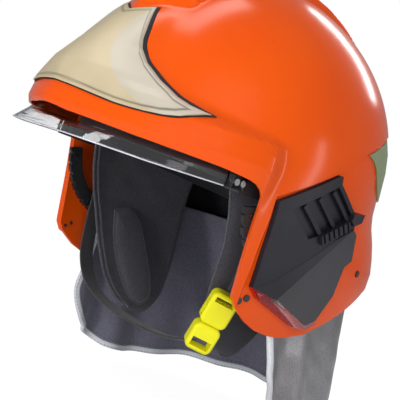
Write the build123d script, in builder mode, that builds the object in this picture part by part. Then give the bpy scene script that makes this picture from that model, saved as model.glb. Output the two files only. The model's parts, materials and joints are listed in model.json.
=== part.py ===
from build123d import *
from build123d import SkipClean
import os
from math import atan2, cos, pi, radians, sin, sqrt

# A jet style fire helmet: a hard shell with a comb and a brow peak, a metal-look front plate,
# side plates that hold a lamp, a stowed face shield, foam and textile inside, a chin strap with
# a quick buckle, and a neck curtain.
# +X is the wearer's left, -Y the front, +Z up. The origin is the middle of the head at brow height.

os.makedirs("parts", exist_ok=True)
# Neighbouring faces stay as they are made, because merging the lofts' faces slows every later cut
SkipClean.clean = False

# Driving dimensions, millimetres
mm = 1.0
shell_half_width = 121.0
shell_front = 127.0
shell_rear = 152.0
shell_middle = 2.0
belt_height = 20.0
crown_height = 149.0
skirt_depth = 112.0
dome_step = 1.8
shell_wall = 2.6
peak_middle = -50.0
peak_rear = 60.0
peak_wall = 3.2
overrun = 60.0
seat_gap = 0.3
running_gap = 0.4
layer_gap = 0.15
outline_steps = 32
blend_power = 40

# The shell's outline from the skirt's lowest level up to the belt, as shares of the shell's sizes:
# depth, half width, rear reach, roundness of the front, roundness of the rear
skirt_shares = [
    (1.000, 0.909, 1.045, 2.50, 2.50),
    (0.930, 0.920, 1.054, 2.50, 2.50),
    (0.857, 0.930, 1.063, 2.50, 2.50),
    (0.786, 0.939, 1.072, 2.50, 2.50),
    (0.714, 0.946, 1.079, 2.50, 2.50),
    (0.536, 0.959, 1.089, 2.50, 2.50),
    (0.411, 0.967, 1.086, 2.50, 2.50),
    (0.313, 0.975, 1.072, 2.50, 2.40),
    (0.196, 0.983, 1.039, 2.50, 2.30),
    (0.089, 0.990, 0.995, 2.35, 2.20),
    (0.000, 0.994, 0.990, 2.20, 2.10),
    (-0.179, 1.000, 1.000, 2.00, 2.00),
]
# Heights of the dome's outlines, as shares of its rise over the belt
dome_shares = [0.045, 0.08, 0.116, 0.155, 0.23, 0.31, 0.43, 0.55, 0.67, 0.77, 0.87, 0.94, 0.992]
# The peak over the brow: height, half width, reach forward of its middle, roundness
peak_sections = [
    (-112 * mm, 88 * mm, 66 * mm, 1.90),
    (-60 * mm, 102 * mm, 84 * mm, 1.80),
    (-20 * mm, 113 * mm, 104 * mm, 1.65),
    (0, 117 * mm, 109.8 * mm, 1.60),
    (9 * mm, 118.5 * mm, 113.5 * mm, 1.60),
    (17 * mm, 118 * mm, 111.8 * mm, 1.60),
    (25 * mm, 116 * mm, 108.5 * mm, 1.60),
    (30 * mm, 107 * mm, 107.8 * mm, 1.62),
    (35 * mm, 94 * mm, 107.3 * mm, 1.65),
    (40 * mm, 84 * mm, 105.6 * mm, 1.70),
    (50 * mm, 70 * mm, 98.6 * mm, 1.75),
    (60 * mm, 60 * mm, 90.6 * mm, 1.80),
    (76 * mm, 54 * mm, 76.5 * mm, 1.90),
    (91 * mm, 49 * mm, 62.9 * mm, 2.00),
    (106 * mm, 40 * mm, 48 * mm, 2.00),
]
grow_share = 0.8
lift_share = 0.7


def between(rows, at):
    """The row of a table that lies at one value of its first column."""
    if at <= rows[0][0]:
        return rows[0][1:]
    for low, high in zip(rows, rows[1:]):
        if at <= high[0]:
            part = (at - low[0]) / (high[0] - low[0])
            return tuple(a + (b - a) * part for a, b in zip(low[1:], high[1:]))
    return rows[-1][1:]


def oval(half_width, front, rear, middle, front_power=2.0, rear_power=2.0, steps=outline_steps):
    """Points of a closed superellipse with its own reach and roundness at each end."""
    points = []
    for step in range(steps):
        turn = 2 * pi * (step + 0.5) / steps
        reach, power = (rear, rear_power) if sin(turn) > 0 else (front, front_power)
        side = 1 if cos(turn) > 0 else -1
        end = 1 if sin(turn) > 0 else -1
        points.append((
            side * half_width * abs(cos(turn)) ** (2 / power),
            middle + end * reach * abs(sin(turn)) ** (2 / power),
        ))
    return points


def dome_distance(turn, height, outset):
    """How far dome and skirt reach from their middle, in one direction at one height."""
    if height >= belt_height:
        rise = crown_height - belt_height + outset
        shrink = sqrt(1 - ((height - belt_height) / rise) ** 2)
        half, front, rear = shell_half_width + outset, shell_front + outset, shell_rear + outset
        front_power = rear_power = 2.0
    else:
        shrink = 1
        rows = [(-depth * skirt_depth, *rest) for depth, *rest in skirt_shares]
        half_share, rear_share, front_power, rear_power = between(rows, height)
        half, front = half_share * shell_half_width + outset, shell_front + outset
        rear = rear_share * shell_rear + outset
    reach, power = (rear, rear_power) if sin(turn) > 0 else (front, front_power)
    across, along = abs(cos(turn)) / half, abs(sin(turn)) / reach
    return shrink / (across ** power + along ** power) ** (1 / power)


def peak_distance(turn, height, outset):
    """The same for the peak, found by halving, because its middle lies further forward."""
    rows = [(level + lift_share * outset, *rest) for level, *rest in peak_sections]
    half, reach, power = between(rows, height)
    half, reach = half + grow_share * outset, reach + grow_share * outset
    near, far = 0, shell_rear + peak_rear
    while far - near > 0.001:
        trial = (near + far) / 2
        along = trial * sin(turn) + shell_middle - peak_middle
        end = reach if along < 0 else peak_rear
        if (abs(trial * cos(turn)) / half) ** power + (abs(along) / end) ** power < 1:
            near = trial
        else:
            far = trial
    return near


def shell_outline(height, outset, peak_outset):
    """Points round the dome at one height, with the peak where its outset is given."""
    points = []
    top = -skirt_depth if peak_outset is None else peak_sections[-1][0] + lift_share * peak_outset
    for step in range(outline_steps):
        turn = 2 * pi * (step + 0.5) / outline_steps
        reach = dome_distance(turn, height, outset)
        if sin(turn) < 0 and -skirt_depth < height < top:
            peak = peak_distance(turn, height, peak_outset)
            reach = (reach ** blend_power + peak ** blend_power) ** (1 / blend_power)
        points.append((reach * cos(turn), shell_middle + reach * sin(turn)))
    return points


def stacked(sections):
    """A closed form lofted through closed outlines, each a height and its points."""
    with BuildPart() as form:
        for height, points in sections:
            with BuildSketch(Plane.XY.offset(height)):
                with BuildLine():
                    Spline(*points, periodic=True)
                make_face()
        loft(ruled=True)
    return form.part


def shell_form(outset, peak_outset, lowest=-skirt_depth, highest=crown_height + overrun):
    """The closed form of the shell, grown by outset (shrunk where it is negative)."""
    rise = crown_height - belt_height + outset
    levels = [-depth * skirt_depth for depth, *_ in skirt_shares]
    if peak_outset is None:
        levels += [belt_height + share * rise for share in dome_shares[2::2]]
    else:
        levels += [level for level, *_ in peak_sections[4:6]]
        levels += [belt_height + share * rise for share in dome_shares]
    levels = [level for level in sorted(levels) if lowest <= level <= highest]
    return stacked([(level, shell_outline(level, outset, peak_outset)) for level in levels])


def bar(start, end, width):
    """Corners of a straight bar of one width from start to end."""
    along = Vector(end[0] - start[0], end[1] - start[1]).normalized()
    side = Vector(-along.Y, along.X) * (width / 2)
    return [(start[0] + side.X, start[1] + side.Y), (end[0] + side.X, end[1] + side.Y),
            (end[0] - side.X, end[1] - side.Y), (start[0] - side.X, start[1] - side.Y)]


def prism(outline, start, end):
    """An outline of (y, z) points carried along X from start to end."""
    with BuildPart() as block:
        with BuildSketch(Plane.YZ.offset(start)):
            with BuildLine():
                Polyline(*outline, close=True)
            make_face()
        extrude(amount=end - start, clean=False)
    return block.part


def through(a, b, c):
    """The plane through three points, facing away from the helmet's middle."""
    face = (Vector(*b) - Vector(*a)).cross(Vector(*c) - Vector(*a))
    if face.X < 0:
        face = -face
    return Plane(origin=a, z_dir=face)


def write(piece, name):
    """Label one finished piece and write it."""
    piece.label = name
    export_step(piece, f"parts/{name}.step")


def write_pair(piece, name):
    """Write a piece of the wearer's left and its mirror image."""
    write(piece, f"{name}_left")
    write(mirror(piece, about=Plane.YZ), f"{name}_right")


# Outer shell
# The lower edge seen from the side, as (y, z), and the line where the dome steps over the skirt
rim_line = [(-170 * mm, 9.5 * mm), (-158 * mm, 5.4 * mm), (-131 * mm, 2.8 * mm), (-83 * mm, 0),
            (-64 * mm, -2.5 * mm)]
temple_corner = (-50 * mm, -3.5 * mm)
cheek_edge = [(-42 * mm, -83 * mm), (-22 * mm, -99 * mm), (7 * mm, -106.5 * mm), (45 * mm, -101 * mm),
              (90 * mm, -77 * mm), (118 * mm, -61 * mm), (144 * mm, -53 * mm), (168 * mm, -46 * mm)]
temple_radius = 14 * mm
step_line = [(-38 * mm, -8 * mm), (17 * mm, 21.5 * mm), (30 * mm, 31.5 * mm), (48 * mm, 43 * mm),
             (92 * mm, 61 * mm), (168 * mm, 72 * mm)]
rim_rise = 4 * mm
tail_rise = 6 * mm
pivot = (8 * mm, -10 * mm)
pivot_radius = 4 * mm
stud_places = [(-34.5 * mm, -85 * mm), (-28.6 * mm, -82 * mm), (87 * mm, -46.5 * mm)]
stud_radius = 1.6 * mm
side_reach = shell_half_width + overrun
far = shell_rear + overrun
low = -skirt_depth - overrun

with BuildPart() as opening_cut:
    with BuildSketch(Plane.YZ):
        with BuildLine():
            Polyline((-far, rim_line[0][1] + rim_rise), *rim_line, temple_corner, *cheek_edge,
                     (far, cheek_edge[-1][1] + tail_rise), (far, low), (-far, low), close=True)
        make_face()
        fillet(vertices().sort_by_distance((0, *temple_corner))[0], temple_radius)
    with BuildSketch(Plane.YZ):
        with Locations(pivot):
            Circle(pivot_radius)
        with Locations(*stud_places):
            Circle(stud_radius)
    extrude(amount=side_reach, both=True, clean=False)

skirt_outline = [*step_line, (far, step_line[-1][1]), (far, low), (step_line[0][0], low)]

# The comb runs over the crown from the front plate's notch to the rear step
comb_half_width = 35 * mm
comb_height = 5.5 * mm
comb_root = 1 * mm
comb_front = [(0, 90 * mm), (19 * mm, 97.5 * mm), (35 * mm, 100 * mm)]
comb_rear_low = 70 * mm

with BuildPart() as comb:
    with BuildSketch(Plane.XZ):
        with BuildLine():
            Polyline(*comb_front, (comb_half_width, crown_height + overrun), (0, crown_height + overrun),
                     close=True)
        make_face()
        mirror(about=Plane.YZ)
    extrude(amount=far, clean=False)
    with BuildSketch(Plane.XZ):
        with Locations((0, comb_rear_low)):
            Rectangle(2 * comb_half_width, crown_height, align=(Align.CENTER, Align.MIN))
    extrude(amount=-far, clean=False)
    add(shell_form(comb_height, None, lowest=belt_height), mode=Mode.INTERSECT, clean=False)
    add(shell_form(-comb_root, None, lowest=belt_height), mode=Mode.SUBTRACT, clean=False)

skirt_room = prism(skirt_outline, -side_reach, side_reach)
shell_inside = shell_form(-dome_step - shell_wall, -peak_wall)
with BuildPart() as skirt_layer:
    add(shell_form(-dome_step, None, highest=crown_height - overrun), clean=False)
    add(skirt_room, mode=Mode.INTERSECT, clean=False)
    add(shell_inside, mode=Mode.SUBTRACT, clean=False)

with BuildPart() as outer_shell:
    add(shell_form(0, 0), clean=False)
    add(skirt_room, mode=Mode.SUBTRACT, clean=False)
    add(shell_inside, mode=Mode.SUBTRACT, clean=False)
    add(skirt_layer.part, clean=False)
    add(opening_cut.part, mode=Mode.SUBTRACT, clean=False)
    add(comb.part, clean=False)
write(outer_shell.part, "outer_shell")

# Front plate and its gasket
# The plate's outline seen from the front, wearer's left half, as (x, z)
plate_edge = [(0, 24 * mm), (15 * mm, 23.2 * mm), (28 * mm, 22.1 * mm), (50.5 * mm, 19.9 * mm),
              (67 * mm, 20.3 * mm), (77 * mm, 21.6 * mm), (84 * mm, 24 * mm), (88 * mm, 27.2 * mm),
              (91 * mm, 31.2 * mm)]
wing_edge = [(80 * mm, 33.3 * mm), (71 * mm, 36.2 * mm), (56 * mm, 44.1 * mm), (43 * mm, 52.7 * mm),
             (34 * mm, 61.3 * mm), (30 * mm, 68 * mm), (26 * mm, 76.8 * mm), (21.5 * mm, 85.7 * mm),
             (17 * mm, 94.5 * mm)]
plate_notch = (0, 88 * mm)
plate_stand = 0.9 * mm
plate_thickness = 1.5 * mm
gasket_margin = 1 * mm
plate_rear = -90 * mm


def plate_blank(margin, outer):
    """The plate's outline, grown by a margin, cut from the grown shell."""
    low_edge = [(x, z - margin) for x, z in plate_edge]
    high_edge = [(x + margin, z + margin) for x, z in wing_edge]
    tip = (plate_edge[-1][0] + 2 * margin, plate_edge[-1][1])
    notch = (0, plate_notch[1] + margin)
    with BuildPart() as blank:
        with BuildSketch(Plane.XZ.offset(-plate_rear)):
            with BuildLine():
                Spline(*low_edge[:-1], tip)
                Spline(tip, *high_edge)
                Line(high_edge[-1], notch)
                Line(notch, low_edge[0])
            make_face()
            mirror(about=Plane.YZ)
        extrude(amount=shell_rear + overrun, clean=False)
        add(shell_form(outer, outer), mode=Mode.INTERSECT, clean=False)
    return blank.part


with BuildPart() as front_plate:
    add(plate_blank(0, plate_stand + plate_thickness), clean=False)
    add(shell_form(plate_stand + layer_gap, plate_stand + layer_gap), mode=Mode.SUBTRACT, clean=False)
write(front_plate.part, "front_plate")

with BuildPart() as front_plate_gasket:
    add(plate_blank(gasket_margin, plate_stand), clean=False)
    add(shell_form(layer_gap, layer_gap), mode=Mode.SUBTRACT, clean=False)
write(front_plate_gasket.part, "front_plate_gasket")

# Rear reflector, one panel wrapped round the back under the step
reflector_thickness = 1.5 * mm
reflector_line = [(50 * mm, 41.5 * mm), (70 * mm, 33 * mm), (88 * mm, 18 * mm), (112 * mm, 12 * mm),
                  (168 * mm, 10 * mm)]
with BuildPart() as rear_reflector:
    with BuildSketch(Plane.YZ):
        with BuildLine():
            Spline(*reflector_line)
            Polyline(reflector_line[-1], (reflector_line[-1][0], step_line[-1][1] - dome_step),
                     (step_line[-2][0], step_line[-2][1] - dome_step), reflector_line[0])
        make_face()
    extrude(amount=side_reach, both=True, clean=False)
    add(shell_form(reflector_thickness - dome_step, None, lowest=-belt_height), mode=Mode.INTERSECT,
        clean=False)
    add(shell_form(layer_gap - dome_step, None, lowest=-belt_height), mode=Mode.SUBTRACT, clean=False)
write(rear_reflector.part, "rear_reflector")

# Side plates: a black holder on each cheek, with a finger recess, a latch and a slim lamp
# The outlines are seen from the side, as (y, z)
plate_proud = 2.5 * mm
holder_edge = [(-34.4 * mm, -10 * mm), (17.3 * mm, 21.3 * mm), (19 * mm, 14.5 * mm), (46.5 * mm, -2.3 * mm),
               (52 * mm, -10 * mm), (54.2 * mm, -17.8 * mm), (61 * mm, -37.4 * mm), (54.7 * mm, -43 * mm),
               (54.8 * mm, -66 * mm), (44.9 * mm, -87.3 * mm), (34.3 * mm, -92 * mm),
               (-9 * mm, -77.5 * mm), (-30.5 * mm, -73.4 * mm)]
lens_edge = [(-30.5 * mm, -73.4 * mm), (-9 * mm, -77.5 * mm), (34.3 * mm, -92 * mm), (44.9 * mm, -87.3 * mm),
             (46 * mm, -90 * mm), (35.8 * mm, -95.8 * mm), (20.9 * mm, -94.9 * mm), (-21.8 * mm, -80.4 * mm)]
lamp_edge = [(-30.5 * mm, -73.4 * mm), (48.2 * mm, -14.4 * mm), (54.2 * mm, -17.8 * mm), (61 * mm, -37.4 * mm),
             (54.7 * mm, -43 * mm), (54.8 * mm, -66 * mm), (44.9 * mm, -87.3 * mm), (34.3 * mm, -92 * mm),
             (-9 * mm, -77.5 * mm)]
recess_edge = [(-22 * mm, -13.5 * mm), (16.5 * mm, 12 * mm), (43 * mm, -4.5 * mm), (38 * mm, -9.5 * mm),
               (15 * mm, -25 * mm), (4.1 * mm, -30 * mm)]
rib_starts = [(-11 * mm, -8 * mm), (1 * mm, 0), (13 * mm, 7.5 * mm)]
rib_ends = [(16.5 * mm, -26 * mm), (27 * mm, -17 * mm), (40 * mm, -9 * mm)]
recess_floor = -0.9 * mm
rib_width = 3.2 * mm
# The lamp's outer planes meet at its ridge: (x, y, z)
lamp_top = (116.2 * mm, -30 * mm, -73.4 * mm)
lamp_tip = (121.4 * mm, 48.2 * mm, -14.4 * mm)
lamp_ridge = (122.7 * mm, -9.7 * mm, -76.4 * mm)
lamp_rear = (115.4 * mm, 44.9 * mm, -87.3 * mm)
lens_front = (117 * mm, -21.8 * mm, -80.4 * mm)
lens_low = (115.6 * mm, 20.9 * mm, -94.9 * mm)
latch_start = (15 * mm, -28.5 * mm)
latch_end = (40 * mm, -12.5 * mm)
latch_width = 7 * mm
latch_floor = 121 * mm
latch_height = 3.2 * mm
latch_ridges = 6
ridge_depth = 1.6 * mm
lug_edge = [(42 * mm, -8.5 * mm), (43 * mm, -4.5 * mm), (54.5 * mm, -1.5 * mm), (53.5 * mm, -8 * mm),
            (46 * mm, -12 * mm)]
lug_top = 122.3 * mm
cheek_top = belt_height + 6 * mm
cheek_inside = shell_half_width - overrun / 2
cheek_outside = shell_half_width + overrun / 2


cheek_seat = shell_form(layer_gap - dome_step, None, highest=cheek_top)
cheek_outer = shell_form(plate_proud, None, highest=cheek_top)
lamp_seat = shell_form(plate_proud + layer_gap, None, highest=cheek_top)
cheek_floor = shell_form(recess_floor, None, highest=cheek_top)

recess = prism(recess_edge, cheek_inside, cheek_outside)
for start, end in zip(rib_starts, rib_ends):
    recess -= prism(bar(start, end, rib_width), cheek_inside, cheek_outside)
recess -= cheek_floor

with BuildPart() as side_plate:
    add(prism(holder_edge, cheek_inside, cheek_outside), clean=False)
    add(cheek_outer, mode=Mode.INTERSECT, clean=False)
    add(prism(bar(latch_start, latch_end, latch_width + 2 * running_gap), cheek_inside, latch_floor),
        clean=False)
    add(prism(lug_edge, cheek_inside, lug_top), clean=False)
    add(cheek_seat, mode=Mode.SUBTRACT, clean=False)
    add(recess, mode=Mode.SUBTRACT, clean=False)
write_pair(side_plate.part, "side_plate")

with BuildPart() as lamp_body:
    add(prism(lamp_edge, cheek_inside, cheek_outside), clean=False)
    split(bisect_by=through(lamp_top, lamp_tip, lamp_ridge), keep=Keep.BOTTOM)
    split(bisect_by=through(lamp_ridge, lamp_tip, lamp_rear), keep=Keep.BOTTOM)
    add(lamp_seat, mode=Mode.SUBTRACT, clean=False)
    add(prism(bar(latch_start, latch_end, latch_width + 4 * running_gap), cheek_inside, cheek_outside),
        mode=Mode.SUBTRACT, clean=False)
write_pair(lamp_body.part, "lamp_body")

with BuildPart() as lamp_lens:
    add(prism(lens_edge, cheek_inside, cheek_outside), clean=False)
    split(bisect_by=through(lamp_top, lamp_tip, lamp_ridge), keep=Keep.BOTTOM)
    split(bisect_by=through(lamp_ridge, lamp_tip, lamp_rear), keep=Keep.BOTTOM)
    split(bisect_by=through(lens_front, lens_low, lamp_ridge), keep=Keep.BOTTOM)
    add(lamp_seat, mode=Mode.SUBTRACT, clean=False)
write_pair(lamp_lens.part, "lamp_lens")

with BuildPart() as lamp_reflector:
    add(prism(lens_edge, cheek_inside, cheek_outside), clean=False)
    add(cheek_outer, mode=Mode.INTERSECT, clean=False)
    add(cheek_seat, mode=Mode.SUBTRACT, clean=False)
write_pair(lamp_reflector.part, "lamp_reflector")

latch_run = Vector(latch_end[0] - latch_start[0], latch_end[1] - latch_start[1])
with BuildPart() as side_latch:
    add(prism(bar(latch_start, latch_end, latch_width), latch_floor + seat_gap,
              latch_floor + latch_height), clean=False)
    for step in range(latch_ridges):
        at = (step + 0.5) / latch_ridges
        middle = Vector(*latch_start) + latch_run * at
        across = Vector(-latch_run.Y, latch_run.X).normalized() * latch_width
        groove = bar((middle.X - across.X, middle.Y - across.Y), (middle.X + across.X, middle.Y + across.Y),
                     latch_run.length / latch_ridges / 2.5)
        add(prism(groove, latch_floor + latch_height - ridge_depth, cheek_outside), mode=Mode.SUBTRACT)
write_pair(side_latch.part, "side_latch")

# Press studs of the neck curtain: a flat head outside each hole, and a post with a cap inside it
stud_head_radius = 2.6 * mm
stud_head = 0.9 * mm
stud_post_radius = stud_radius - 0.15 * mm
with BuildPart() as stud_posts:
    with BuildSketch(Plane.YZ.offset(cheek_inside)):
        with Locations(*stud_places):
            Circle(stud_post_radius)
    extrude(amount=overrun, clean=False)
    add(shell_form(stud_head - dome_step, None, highest=0), mode=Mode.INTERSECT, clean=False)
    add(shell_form(-dome_step - shell_wall - stud_head, None, highest=0), mode=Mode.SUBTRACT, clean=False)
with BuildPart() as curtain_studs:
    with BuildSketch(Plane.YZ.offset(cheek_inside)):
        with Locations(*stud_places):
            Circle(stud_head_radius)
    extrude(amount=overrun, clean=False)
    add(shell_form(stud_head - dome_step, None, highest=0), mode=Mode.INTERSECT, clean=False)
    add(shell_form(layer_gap - dome_step, None, highest=0), mode=Mode.SUBTRACT, clean=False)
    add(stud_posts.part, clean=False)
    mirror(about=Plane.YZ)
write(curtain_studs.part, "curtain_studs")

# Face shield: clear, stowed between the shell and the inner cap, turning on the pivot pins
# height, half width, reach forward of the peak's middle, roundness
shield_sections = [
    (-14 * mm, 107 * mm, 127.5 * mm, 1.70),
    (-10 * mm, 107 * mm, 123.5 * mm, 1.70),
    (-6 * mm, 107 * mm, 118 * mm, 1.70),
    (0, 106.5 * mm, 110 * mm, 1.70),
    (6 * mm, 106 * mm, 104.5 * mm, 1.70),
    (20 * mm, 101 * mm, 99 * mm, 1.75),
    (30 * mm, 94 * mm, 95.5 * mm, 1.80),
    (35 * mm, 84 * mm, 93.5 * mm, 1.85),
    (42 * mm, 77 * mm, 89.5 * mm, 1.90),
    (50 * mm, 69 * mm, 84 * mm, 1.95),
    (60 * mm, 60 * mm, 76 * mm, 2.00),
    (66 * mm, 55 * mm, 70 * mm, 2.00),
]
shield_thickness = 2.4 * mm
shield_bottom = [(-190 * mm, -8.6 * mm), (-160 * mm, -9.5 * mm), (-123 * mm, -11 * mm),
                 (-59 * mm, -11.4 * mm)]
shield_rear = -59 * mm
shield_top = 62 * mm
tab_front, tab_rear = -72 * mm, -60 * mm
tab_low, tab_high = -11.4 * mm, -2 * mm
tab_stand = 1.6 * mm
arm_inner = 101.2 * mm
arm_thickness = 2.4 * mm
arm_width = 13 * mm
arm_end = (-66 * mm, -6 * mm)
arm_hub_radius = 9 * mm
rivet_radius = 1.5 * mm
rivet_places = [(-69 * mm, -6.5 * mm), (-63 * mm, -6.5 * mm)]


def shield_form(inset):
    """The closed form of the shield, shrunk by inset."""
    return stacked([
        (height, oval(half - inset, reach - inset, peak_rear, peak_middle, power, steps=28))
        for height, half, reach, power in shield_sections
    ])


# The arms lie in rebates of the shield's inner face
arm_room = prism(bar((tab_front - running_gap, arm_end[1]), pivot, arm_width + 2 * running_gap),
                 -arm_inner - arm_thickness, arm_inner + arm_thickness)

with BuildPart() as face_shield:
    with BuildSketch(Plane.YZ):
        with BuildLine():
            Polyline(*shield_bottom, (shield_rear, belt_height), (-84 * mm, 44 * mm), (-96 * mm, shield_top),
                     (shield_bottom[0][0], shield_top), close=True)
        make_face()
    extrude(amount=side_reach, both=True, clean=False)
    add(shield_form(0), mode=Mode.INTERSECT, clean=False)
    add(shield_form(shield_thickness), mode=Mode.SUBTRACT, clean=False)
    add(arm_room, mode=Mode.SUBTRACT, clean=False)
    for side in (-1, 1):
        with BuildSketch(Plane.YZ.offset(side * (arm_inner + arm_thickness))):
            with BuildLine():
                Polyline((tab_front, tab_low), (tab_rear, tab_low), (tab_rear, tab_high),
                         (tab_front, tab_high), close=True)
            make_face()
        extrude(amount=side * (shield_sections[0][1] + tab_stand - arm_inner - arm_thickness), clean=False)
    with BuildSketch(Plane.YZ):
        with Locations(*rivet_places):
            Circle(rivet_radius)
    extrude(amount=side_reach, both=True, mode=Mode.SUBTRACT, clean=False)
write(face_shield.part, "face_shield")

with BuildPart() as shield_arm:
    with BuildSketch(Plane.YZ.offset(arm_inner)):
        with BuildLine():
            Polyline(*bar((tab_front, arm_end[1]), pivot, arm_width), close=True)
        make_face()
        with Locations(pivot):
            Circle(arm_hub_radius)
        with Locations(pivot):
            Circle(pivot_radius + running_gap, mode=Mode.SUBTRACT)
        with Locations(*rivet_places):
            Circle(rivet_radius, mode=Mode.SUBTRACT)
    extrude(amount=arm_thickness, clean=False)
write_pair(shield_arm.part, "shield_arm")

rivet_head_radius = 2.4 * mm
rivet_head = 0.8 * mm
with BuildPart() as shield_rivets:
    with BuildSketch(Plane.YZ.offset(arm_inner - rivet_head)):
        with Locations(*rivet_places):
            Circle(rivet_head_radius)
    extrude(amount=rivet_head, clean=False)
    with BuildSketch(Plane.YZ.offset(arm_inner)):
        with Locations(*rivet_places):
            Circle(rivet_radius)
    extrude(amount=shield_sections[0][1] + tab_stand - arm_inner, clean=False)
    with BuildSketch(Plane.YZ.offset(shield_sections[0][1] + tab_stand)):
        with Locations(*rivet_places):
            Circle(rivet_head_radius)
    extrude(amount=rivet_head / 2, clean=False)
    mirror(about=Plane.YZ)
write(shield_rivets.part, "shield_rivets")

# Pivot pins: a shank through the shell's hole, a spacer against the wall and a head inside the arm
pin_head_radius = 7 * mm
pin_head = 1.8 * mm
spacer_radius = 8 * mm
with BuildPart() as pin_shank:
    with BuildSketch(Plane.YZ.offset(arm_inner - running_gap)):
        with Locations(pivot):
            Circle(pivot_radius)
    extrude(amount=overrun, clean=False)
    add(shell_form(-dome_step - layer_gap, None, highest=belt_height), mode=Mode.INTERSECT, clean=False)

under_shell = shell_form(-dome_step - shell_wall - layer_gap, None, highest=belt_height)

with BuildPart() as pivot_pins:
    with BuildSketch(Plane.YZ.offset(arm_inner + arm_thickness + running_gap)):
        with Locations(pivot):
            Circle(spacer_radius)
    extrude(amount=overrun, clean=False)
    add(under_shell, mode=Mode.INTERSECT, clean=False)
    with BuildSketch(Plane.YZ.offset(arm_inner - running_gap - pin_head)):
        with Locations(pivot):
            Circle(pin_head_radius)
    extrude(amount=pin_head, clean=False)
    add(pin_shank.part, clean=False)
    mirror(about=Plane.YZ)
write(pivot_pins.part, "pivot_pins")

# Shield guides: scalloped arcs on the cheeks' inside, round the pivot
guide_inner_radius = 51 * mm
guide_outer_radius = 62.5 * mm
guide_first, guide_last = 190, 248
guide_face = arm_inner + arm_thickness + 1.2 * mm
guide_notch_radius = 1.6 * mm
guide_notches = 7
guide_screw_radius = 1.5 * mm
guide_screw_head = 3 * mm
guide_screw_rise = 1 * mm
guide_middle = (guide_inner_radius + guide_outer_radius) / 2
guide_screw_turn = 6
guide_turns = (guide_first + guide_screw_turn, guide_last - guide_screw_turn)


def round_pivot(radius, turn):
    """A point at one radius and angle round the shield's pivot, as (y, z)."""
    return (pivot[0] + radius * cos(radians(turn)), pivot[1] + radius * sin(radians(turn)))


with BuildPart() as shield_guide:
    with BuildSketch(Plane.YZ.offset(guide_face)):
        with BuildLine():
            outer_arc = CenterArc(pivot, guide_outer_radius, guide_first, guide_last - guide_first)
            inner_arc = CenterArc(pivot, guide_inner_radius, guide_first, guide_last - guide_first)
            Line(outer_arc @ 0, inner_arc @ 0)
            Line(outer_arc @ 1, inner_arc @ 1)
        make_face()
        for notch in range(guide_notches):
            turn = guide_first + (guide_last - guide_first) * (notch + 0.5) / guide_notches
            with Locations(round_pivot(guide_outer_radius, turn)):
                Circle(guide_notch_radius, mode=Mode.SUBTRACT)
        for turn in guide_turns:
            with Locations(round_pivot(guide_middle, turn)):
                Circle(guide_screw_radius + running_gap, mode=Mode.SUBTRACT)
    extrude(amount=overrun, clean=False)
    add(under_shell, mode=Mode.INTERSECT, clean=False)
write_pair(shield_guide.part, "shield_guide")

with BuildPart() as guide_screws:
    for turn in guide_turns:
        with BuildSketch(Plane.YZ.offset(guide_face - guide_screw_rise)):
            with Locations(round_pivot(guide_middle, turn)):
                Circle(guide_screw_head)
        extrude(amount=guide_screw_rise, clean=False)
        with BuildSketch(Plane.YZ.offset(guide_face)):
            with Locations(round_pivot(guide_middle, turn)):
                Circle(guide_screw_radius)
        extrude(amount=overrun, clean=False)
    add(under_shell, mode=Mode.INTERSECT, clean=False)
    mirror(about=Plane.YZ)
write(guide_screws.part, "guide_screws")

# Inner cap of foam
cap_outer = (97.5 * mm, 112 * mm, 138 * mm, 144.4 * mm)
cap_inner = (84 * mm, 99 * mm, 110 * mm, 122 * mm)
cap_depth = 44 * mm
cap_edge = [(-200 * mm, -2 * mm), (-112 * mm, -3 * mm), (-60 * mm, -3.5 * mm), (20 * mm, -6 * mm),
            (80 * mm, -2 * mm), (100 * mm, 6 * mm), (200 * mm, 8 * mm)]


def cap_form(half, front, rear, top):
    """A closed dome form on straight walls."""
    sections = [(level, oval(half, front, rear, shell_middle, steps=28)) for level in (-cap_depth, 0)]
    for share in dome_shares[2:]:
        shrink = sqrt(1 - share ** 2)
        sections.append((share * top,
                         oval(half * shrink, front * shrink, rear * shrink, shell_middle, steps=28)))
    return stacked(sections)


with BuildPart() as inner_cap:
    add(cap_form(*cap_outer), clean=False)
    add(cap_form(*cap_inner), mode=Mode.SUBTRACT, clean=False)
    with BuildSketch(Plane.YZ):
        with BuildLine():
            Polyline(*cap_edge, (cap_edge[-1][0], low), (cap_edge[0][0], low), close=True)
        make_face()
    extrude(amount=side_reach, both=True, mode=Mode.SUBTRACT, clean=False)
write(inner_cap.part, "inner_cap")

# Headband: one band round front and sides, with straight ends at the back beside the ratchet
band_half_width = 81.7 * mm
band_front = 96.7 * mm
band_rear = 107.7 * mm
band_thickness = 1.8 * mm
band_low = [(-98 * mm, -2 * mm), (84 * mm, -23 * mm)]
band_height = 25 * mm
band_end = 52 * mm
ear_face = 89 * mm
ear_thickness = 1.8 * mm
ear_inner = 38 * mm
ear_overlap = 3 * mm
rack_low, rack_high = -22 * mm, -6 * mm


def band_blank(outer_inset, inner_inset, low_gap, high_gap):
    """A slanted slice of the band's oval between two insets."""
    with BuildPart() as blank:
        with BuildSketch(Plane.XY.offset(-belt_height - band_height)):
            with BuildLine():
                Spline(*oval(band_half_width - outer_inset, band_front - outer_inset,
                             band_rear - outer_inset, shell_middle), periodic=True)
            make_face()
            with BuildLine():
                Spline(*oval(band_half_width - inner_inset, band_front - inner_inset,
                             band_rear - inner_inset, shell_middle), periodic=True)
            make_face(mode=Mode.SUBTRACT)
        extrude(amount=3 * band_height, clean=False)
        with BuildSketch(Plane.YZ):
            with BuildLine():
                front, rear = band_low
                Polyline((front[0], front[1] + low_gap), (rear[0], rear[1] + low_gap),
                         (rear[0], rear[1] + band_height - high_gap),
                         (front[0], front[1] + band_height - high_gap), close=True)
            make_face()
        extrude(amount=side_reach, both=True, mode=Mode.INTERSECT, clean=False)
    return blank.part


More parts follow.
